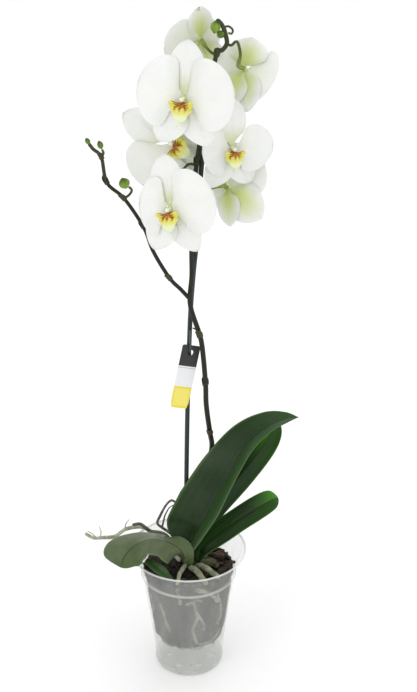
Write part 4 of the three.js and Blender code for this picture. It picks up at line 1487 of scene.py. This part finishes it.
@dataclass(frozen=True)
class Support:
    """The coated stake, the sprung clip that holds the spike to it, and the label.

    A ring of the clip is its middle's x and y, and its radius. The label is drawn flat with its hole
    at the origin, then turned by three angles in degrees and hung from the clip.
    """

    stake: Sequence[Triple] = ((-4, 23, 70), (-3, 25.5, 130), (-2, 27.5, 208), (0, 26, 300), (3, 25, 388),
                               (6.5, 25.4, 437), (9, 24, 463), (11.4, 22, 500), (14.2, 20.8, 541),
                               (18, 20.4, 578))
    stake_radius: float = 2.4
    wire: float = 0.8
    rings: Sequence[Triple] = ((2.7, 25.1, 3.6), (11.6, 15.3, 4.1))
    ring_height: float = 379.0
    bridge: Sequence[Triple] = ((5.6, 26.2, 379), (8.6, 22.6, 379), (9.6, 19.2, 379))
    hook_wire: float = 0.7
    hook: Sequence[Triple] = ((2.7, 21.5, 379), (2.7, 19.3, 375), (2.9, 19.3, 360), (3.1, 21.6, 354.5))
    label_width: float = 18.4
    label_length: float = 66.0
    label_thickness: float = 0.7
    label_corner: float = 2.0
    label_bow: float = 0.9
    hole_radius: float = 3.0
    hole_drop: float = 7.6
    label_points: int = 144
    label_rows: int = 26
    label_sharp: float = 35.0
    hangs: Triple = (3, 21.5, 354.5)
    turn: Triple = (84, 14, 14)

    def build(self) -> None:
        """Makes the three of them."""
        rod = Draft()
        rod.tube(Line(self.stake), self.stake_radius, 3, 24, lambda s, a: 1 + 0.02 * np.cos(4 * a))
        add_piece(rod, "stake_rod", PlasticFinish("stake_coating"), Slot.STAKE, "stake")
        clip = Draft()
        for x, y, radius in self.rings:
            turn = np.linspace(0, 2 * math.pi, 40)
            loop = [polar(radius, a, self.ring_height + 0.3 * math.sin(a)) for a in turn]
            clip.tube(Line([(x + px, y + py, pz) for px, py, pz in loop]), self.wire, 0.8, 12)
        clip.tube(Line(self.bridge), self.wire, 0.8, 12)
        clip.tube(Line(self.hook), self.hook_wire, 0.8, 12)
        wire = PlasticFinish("clip_wire", "#3c4a38", "#6a7a62", 0.3)
        add_piece(clip, "wire_clip", wire, Slot.CLIP, "stem_clip")
        self.label()

    def label(self) -> None:
        """Makes the label: a strip with rounded corners, a slight bow and a round hole."""
        turn = circle(self.label_points)
        way = np.stack([np.cos(turn), np.sin(turn)], -1)
        half, corner = self.label_width / 2, self.label_corner
        top, low = self.hole_drop, self.hole_drop - self.label_length
        # The rim is where a ray from the hole meets the strip's edge, pulled in round the corners.
        to_side = half / np.maximum(np.abs(way[:, 0]), TINY)
        to_end = np.where(way[:, 1] > 0, top, low) / np.where(np.abs(way[:, 1]) < TINY, TINY, way[:, 1])
        rim = way * np.minimum(to_side, np.abs(to_end))[:, None]
        centre = np.stack([np.clip(rim[:, 0], corner - half, half - corner),
                           np.clip(rim[:, 1], low + corner, top - corner)], -1)
        off = rim - centre
        far = np.linalg.norm(off, axis=1, keepdims=True)
        rim = np.where(far > corner, centre + off / np.maximum(far, TINY) * corner, rim)
        share = np.linspace(0, 1, self.label_rows)[:, None, None]
        flat = way * self.hole_radius * (1 - share) + rim * share
        bow = self.label_bow * ((flat[..., 1] - top) / self.label_length) ** 2
        middle = np.stack([flat[..., 0], flat[..., 1], bow], -1)
        x, y, z = (math.radians(a) for a in self.turn)
        turned = Matrix.Rotation(z, 3, "Z") @ Matrix.Rotation(y, 3, "Y") @ Matrix.Rotation(x, 3, "X")
        half_up = np.array([0, 0, self.label_thickness / 2])
        # The rows go out over the front, back under it, and close at the hole.
        loop = np.concatenate([middle + half_up, (middle - half_up)[::-1], (middle + half_up)[:1]])
        marks = {"along": (top - loop[..., 1]) / self.label_length, "across": loop[..., 0] / half}
        draft = Draft()
        draft.grid(loop @ np.array(turned).T + np.array(self.hangs), closed=True, **marks)
        card = TagFinish("label_card")
        add_piece(draft, "plain_label", card, Slot.TAG, "plant_tag", sharp=self.label_sharp)


# ------------------------------------------------------------------ roots


@dataclass(frozen=True)
class Root:
    """A thick root from the crown, with side twigs, each its radius and its line."""

    node: str
    name: str
    line: Sequence[Triple]
    radius: float
    finish: RootFinish
    twigs: Sequence[tuple[float, Sequence[Triple]]] = ()
    taper: float = 0.3

    def build(self) -> None:
        """Makes the root and its twigs."""
        draft = Draft()
        seed = len(self.name)

        def knots(s: np.ndarray, a: np.ndarray) -> np.ndarray:
            """Gives the root's unevenness along and round it."""
            return 1 + 0.07 * np.sin(23 * s + seed + 0.8 * np.sin(a)) + 0.05 * np.sin(3 * a + 31 * s)

        draft.tube(Line(self.line), lambda s: self.radius * (1.05 - self.taper * s**2), 1.0, 16, knots)
        for radius, twig in self.twigs:
            draft.tube(Line(twig), lambda s: radius * (1 - 0.5 * s), 0.8, 10,
                       lambda s, a: 1 + 0.1 * np.sin(17 * s + a), along=0.5)
        add_piece(draft, self.name, self.finish, Slot.ROOT, self.node)


CHALKY = RootFinish("chalky_root_skin", "#b9bba8", "#85876f", "#8d9a66", 0.5)
OLD = RootFinish("old_root_skin", "#6d6a5c", "#3b3a30", "#55603a", 0.2)
GREEN = RootFinish("mouth_root_skin", "#9a9e84", "#6f7458", "#7d9155", 0.2)
ROOTS = (
    Root("root_front_left", "front_root_left",
         ((1.5, -9.3, 121.6), (9, -21, 124.6), (17, -34, 121), (19.5, -38, 119.6)), 3, GREEN, taper=0.15),
    Root("root_front_right", "front_root_right",
         ((7.6, -5.8, 121.6), (17, -14, 124.6), (29, -24, 121), (33, -27, 119.6)), 3, GREEN, taper=0.15),
    Root("aerial_root_left", "aerial_root_pale",
         ((-8.3, 2, 121), (-30, 24, 132), (-48, 33, 143), (-66, 30, 143), (-78, 20, 140.5), (-90, 4, 149),
          (-98, -5, 155), (-106, -9, 163)), 2.2, CHALKY,
         ((0.8, ((-92, 1, 151), (-91, 4, 156), (-93, 6, 162))),
          (0.8, ((-68, 29, 143), (-67, 30, 149), (-63, 30, 155))),
          (0.7, ((-96, -3, 154), (-100, 1, 156), (-105, 3, 158))))),
    Root("aerial_root_back", "aerial_root_dark",
         ((-5, 7.1, 122), (-24, 26, 137), (-40, 27, 142), (-46, 26, 147), (-52, 26, 152), (-60, 25, 151)),
         2.2, OLD),
    Root("aerial_root_loop", "aerial_root_looped",
         ((-1.8, 7.5, 126.6), (-16, 22, 139), (-28, 26, 147), (-33, 26, 152.5), (-31, 26, 160),
          (-24, 26, 174.6), (-18, 26, 181), (-12, 25, 178)), 1.5, OLD,
         ((1.1, ((-28, 26, 147), (-27, 28, 153), (-25, 30, 160), (-21, 31, 168), (-15, 31, 173))),)),
)


# ------------------------------------------------------------------ studio


@dataclass(frozen=True)
class Lamp:
    """A soft square lamp, aimed at the plant."""

    name: str
    at: Triple
    size: float
    watts: float

    def build(self, aim: Triple) -> None:
        """Makes the lamp and turns it to a point."""
        light = bpy.data.lights.new(self.name, "AREA")
        light.energy, light.size = self.watts, self.size
        lamp = bpy.data.objects.new(self.name, light)
        lamp.location = self.at
        lamp.rotation_euler = (Vector(aim) - Vector(self.at)).to_track_quat("-Z", "Y").to_euler()
        bpy.context.scene.collection.objects.link(lamp)


@dataclass(frozen=True)
class Studio:
    """A pale floor, soft lamps all round and the camera.

    The floor is drawn in millimetres; the lamps and the camera are placed in metres.
    """

    sky: float = 1.0
    floor_reach: float = 9000.0
    floor_gap: float = 0.2
    aim: Triple = (0, 0, 0.35)
    camera_at: Triple = (0.021, -1.10, 0.88)
    camera_pitch: float = 65.193
    camera_lens: float = 65.18
    camera_sensor: float = 36.0
    camera_far: float = 50.0
    lamps: Sequence[Lamp] = (
        Lamp("key_lamp", (-1.3, -1.5, 2.1), 1.0, 6),
        Lamp("fill_lamp", (1.7, -1.2, 1.2), 1.2, 2),
        Lamp("back_lamp", (0.6, 1.8, 1.7), 1.2, 4),
    )

    def build(self) -> None:
        """Makes the light, the floor and the camera."""
        bpy.context.scene.view_settings.view_transform = "Standard"
        self.light()
        self.lay_floor()
        self.set_camera()

    def light(self) -> None:
        """Makes the pale surroundings and the lamps."""
        world = bpy.data.worlds.new("studio_air")
        world.use_nodes = True
        air = world.node_tree.nodes["Background"].inputs
        air["Color"].default_value, air["Strength"].default_value = paint("#ffffff"), self.sky
        bpy.context.scene.world = world
        for lamp in self.lamps:
            lamp.build(self.aim)

    def lay_floor(self) -> None:
        """Makes the floor, just under the pot."""
        floor = Draft()
        reach = np.linspace(-self.floor_reach, self.floor_reach, 25)
        x, y = np.meshgrid(reach, reach)
        floor.grid(np.stack([x, y, np.full_like(x, -self.floor_gap)], -1))
        paper = floor.build("studio_floor")
        paper.data.materials.append(FloorFinish("studio_paper").material())

    def set_camera(self) -> None:
        """Makes the camera, at the photograph's viewing angle."""
        lens = bpy.data.cameras.new("photo_camera")
        lens.lens, lens.sensor_width, lens.clip_end = self.camera_lens, self.camera_sensor, self.camera_far
        camera = bpy.data.objects.new("photo_camera", lens)
        camera.location = self.camera_at
        camera.rotation_euler = (math.radians(self.camera_pitch), 0, 0)
        bpy.context.scene.collection.objects.link(camera)
        bpy.context.scene.camera = camera


def main() -> None:
    """Builds the studio and every part of the plant."""
    logging.basicConfig(level=logging.INFO, format="%(name)s: %(message)s")
    Studio().build()
    pot = Pot()
    for part in (pot, RootBall(pot), Crown(), *LEAVES, *ROOTS, SPIKE, BRANCH, *FLOWERS, Support()):
        part.build()
        LOG.info("built %s", type(part).__name__)


if __name__ == "__main__":
    main()
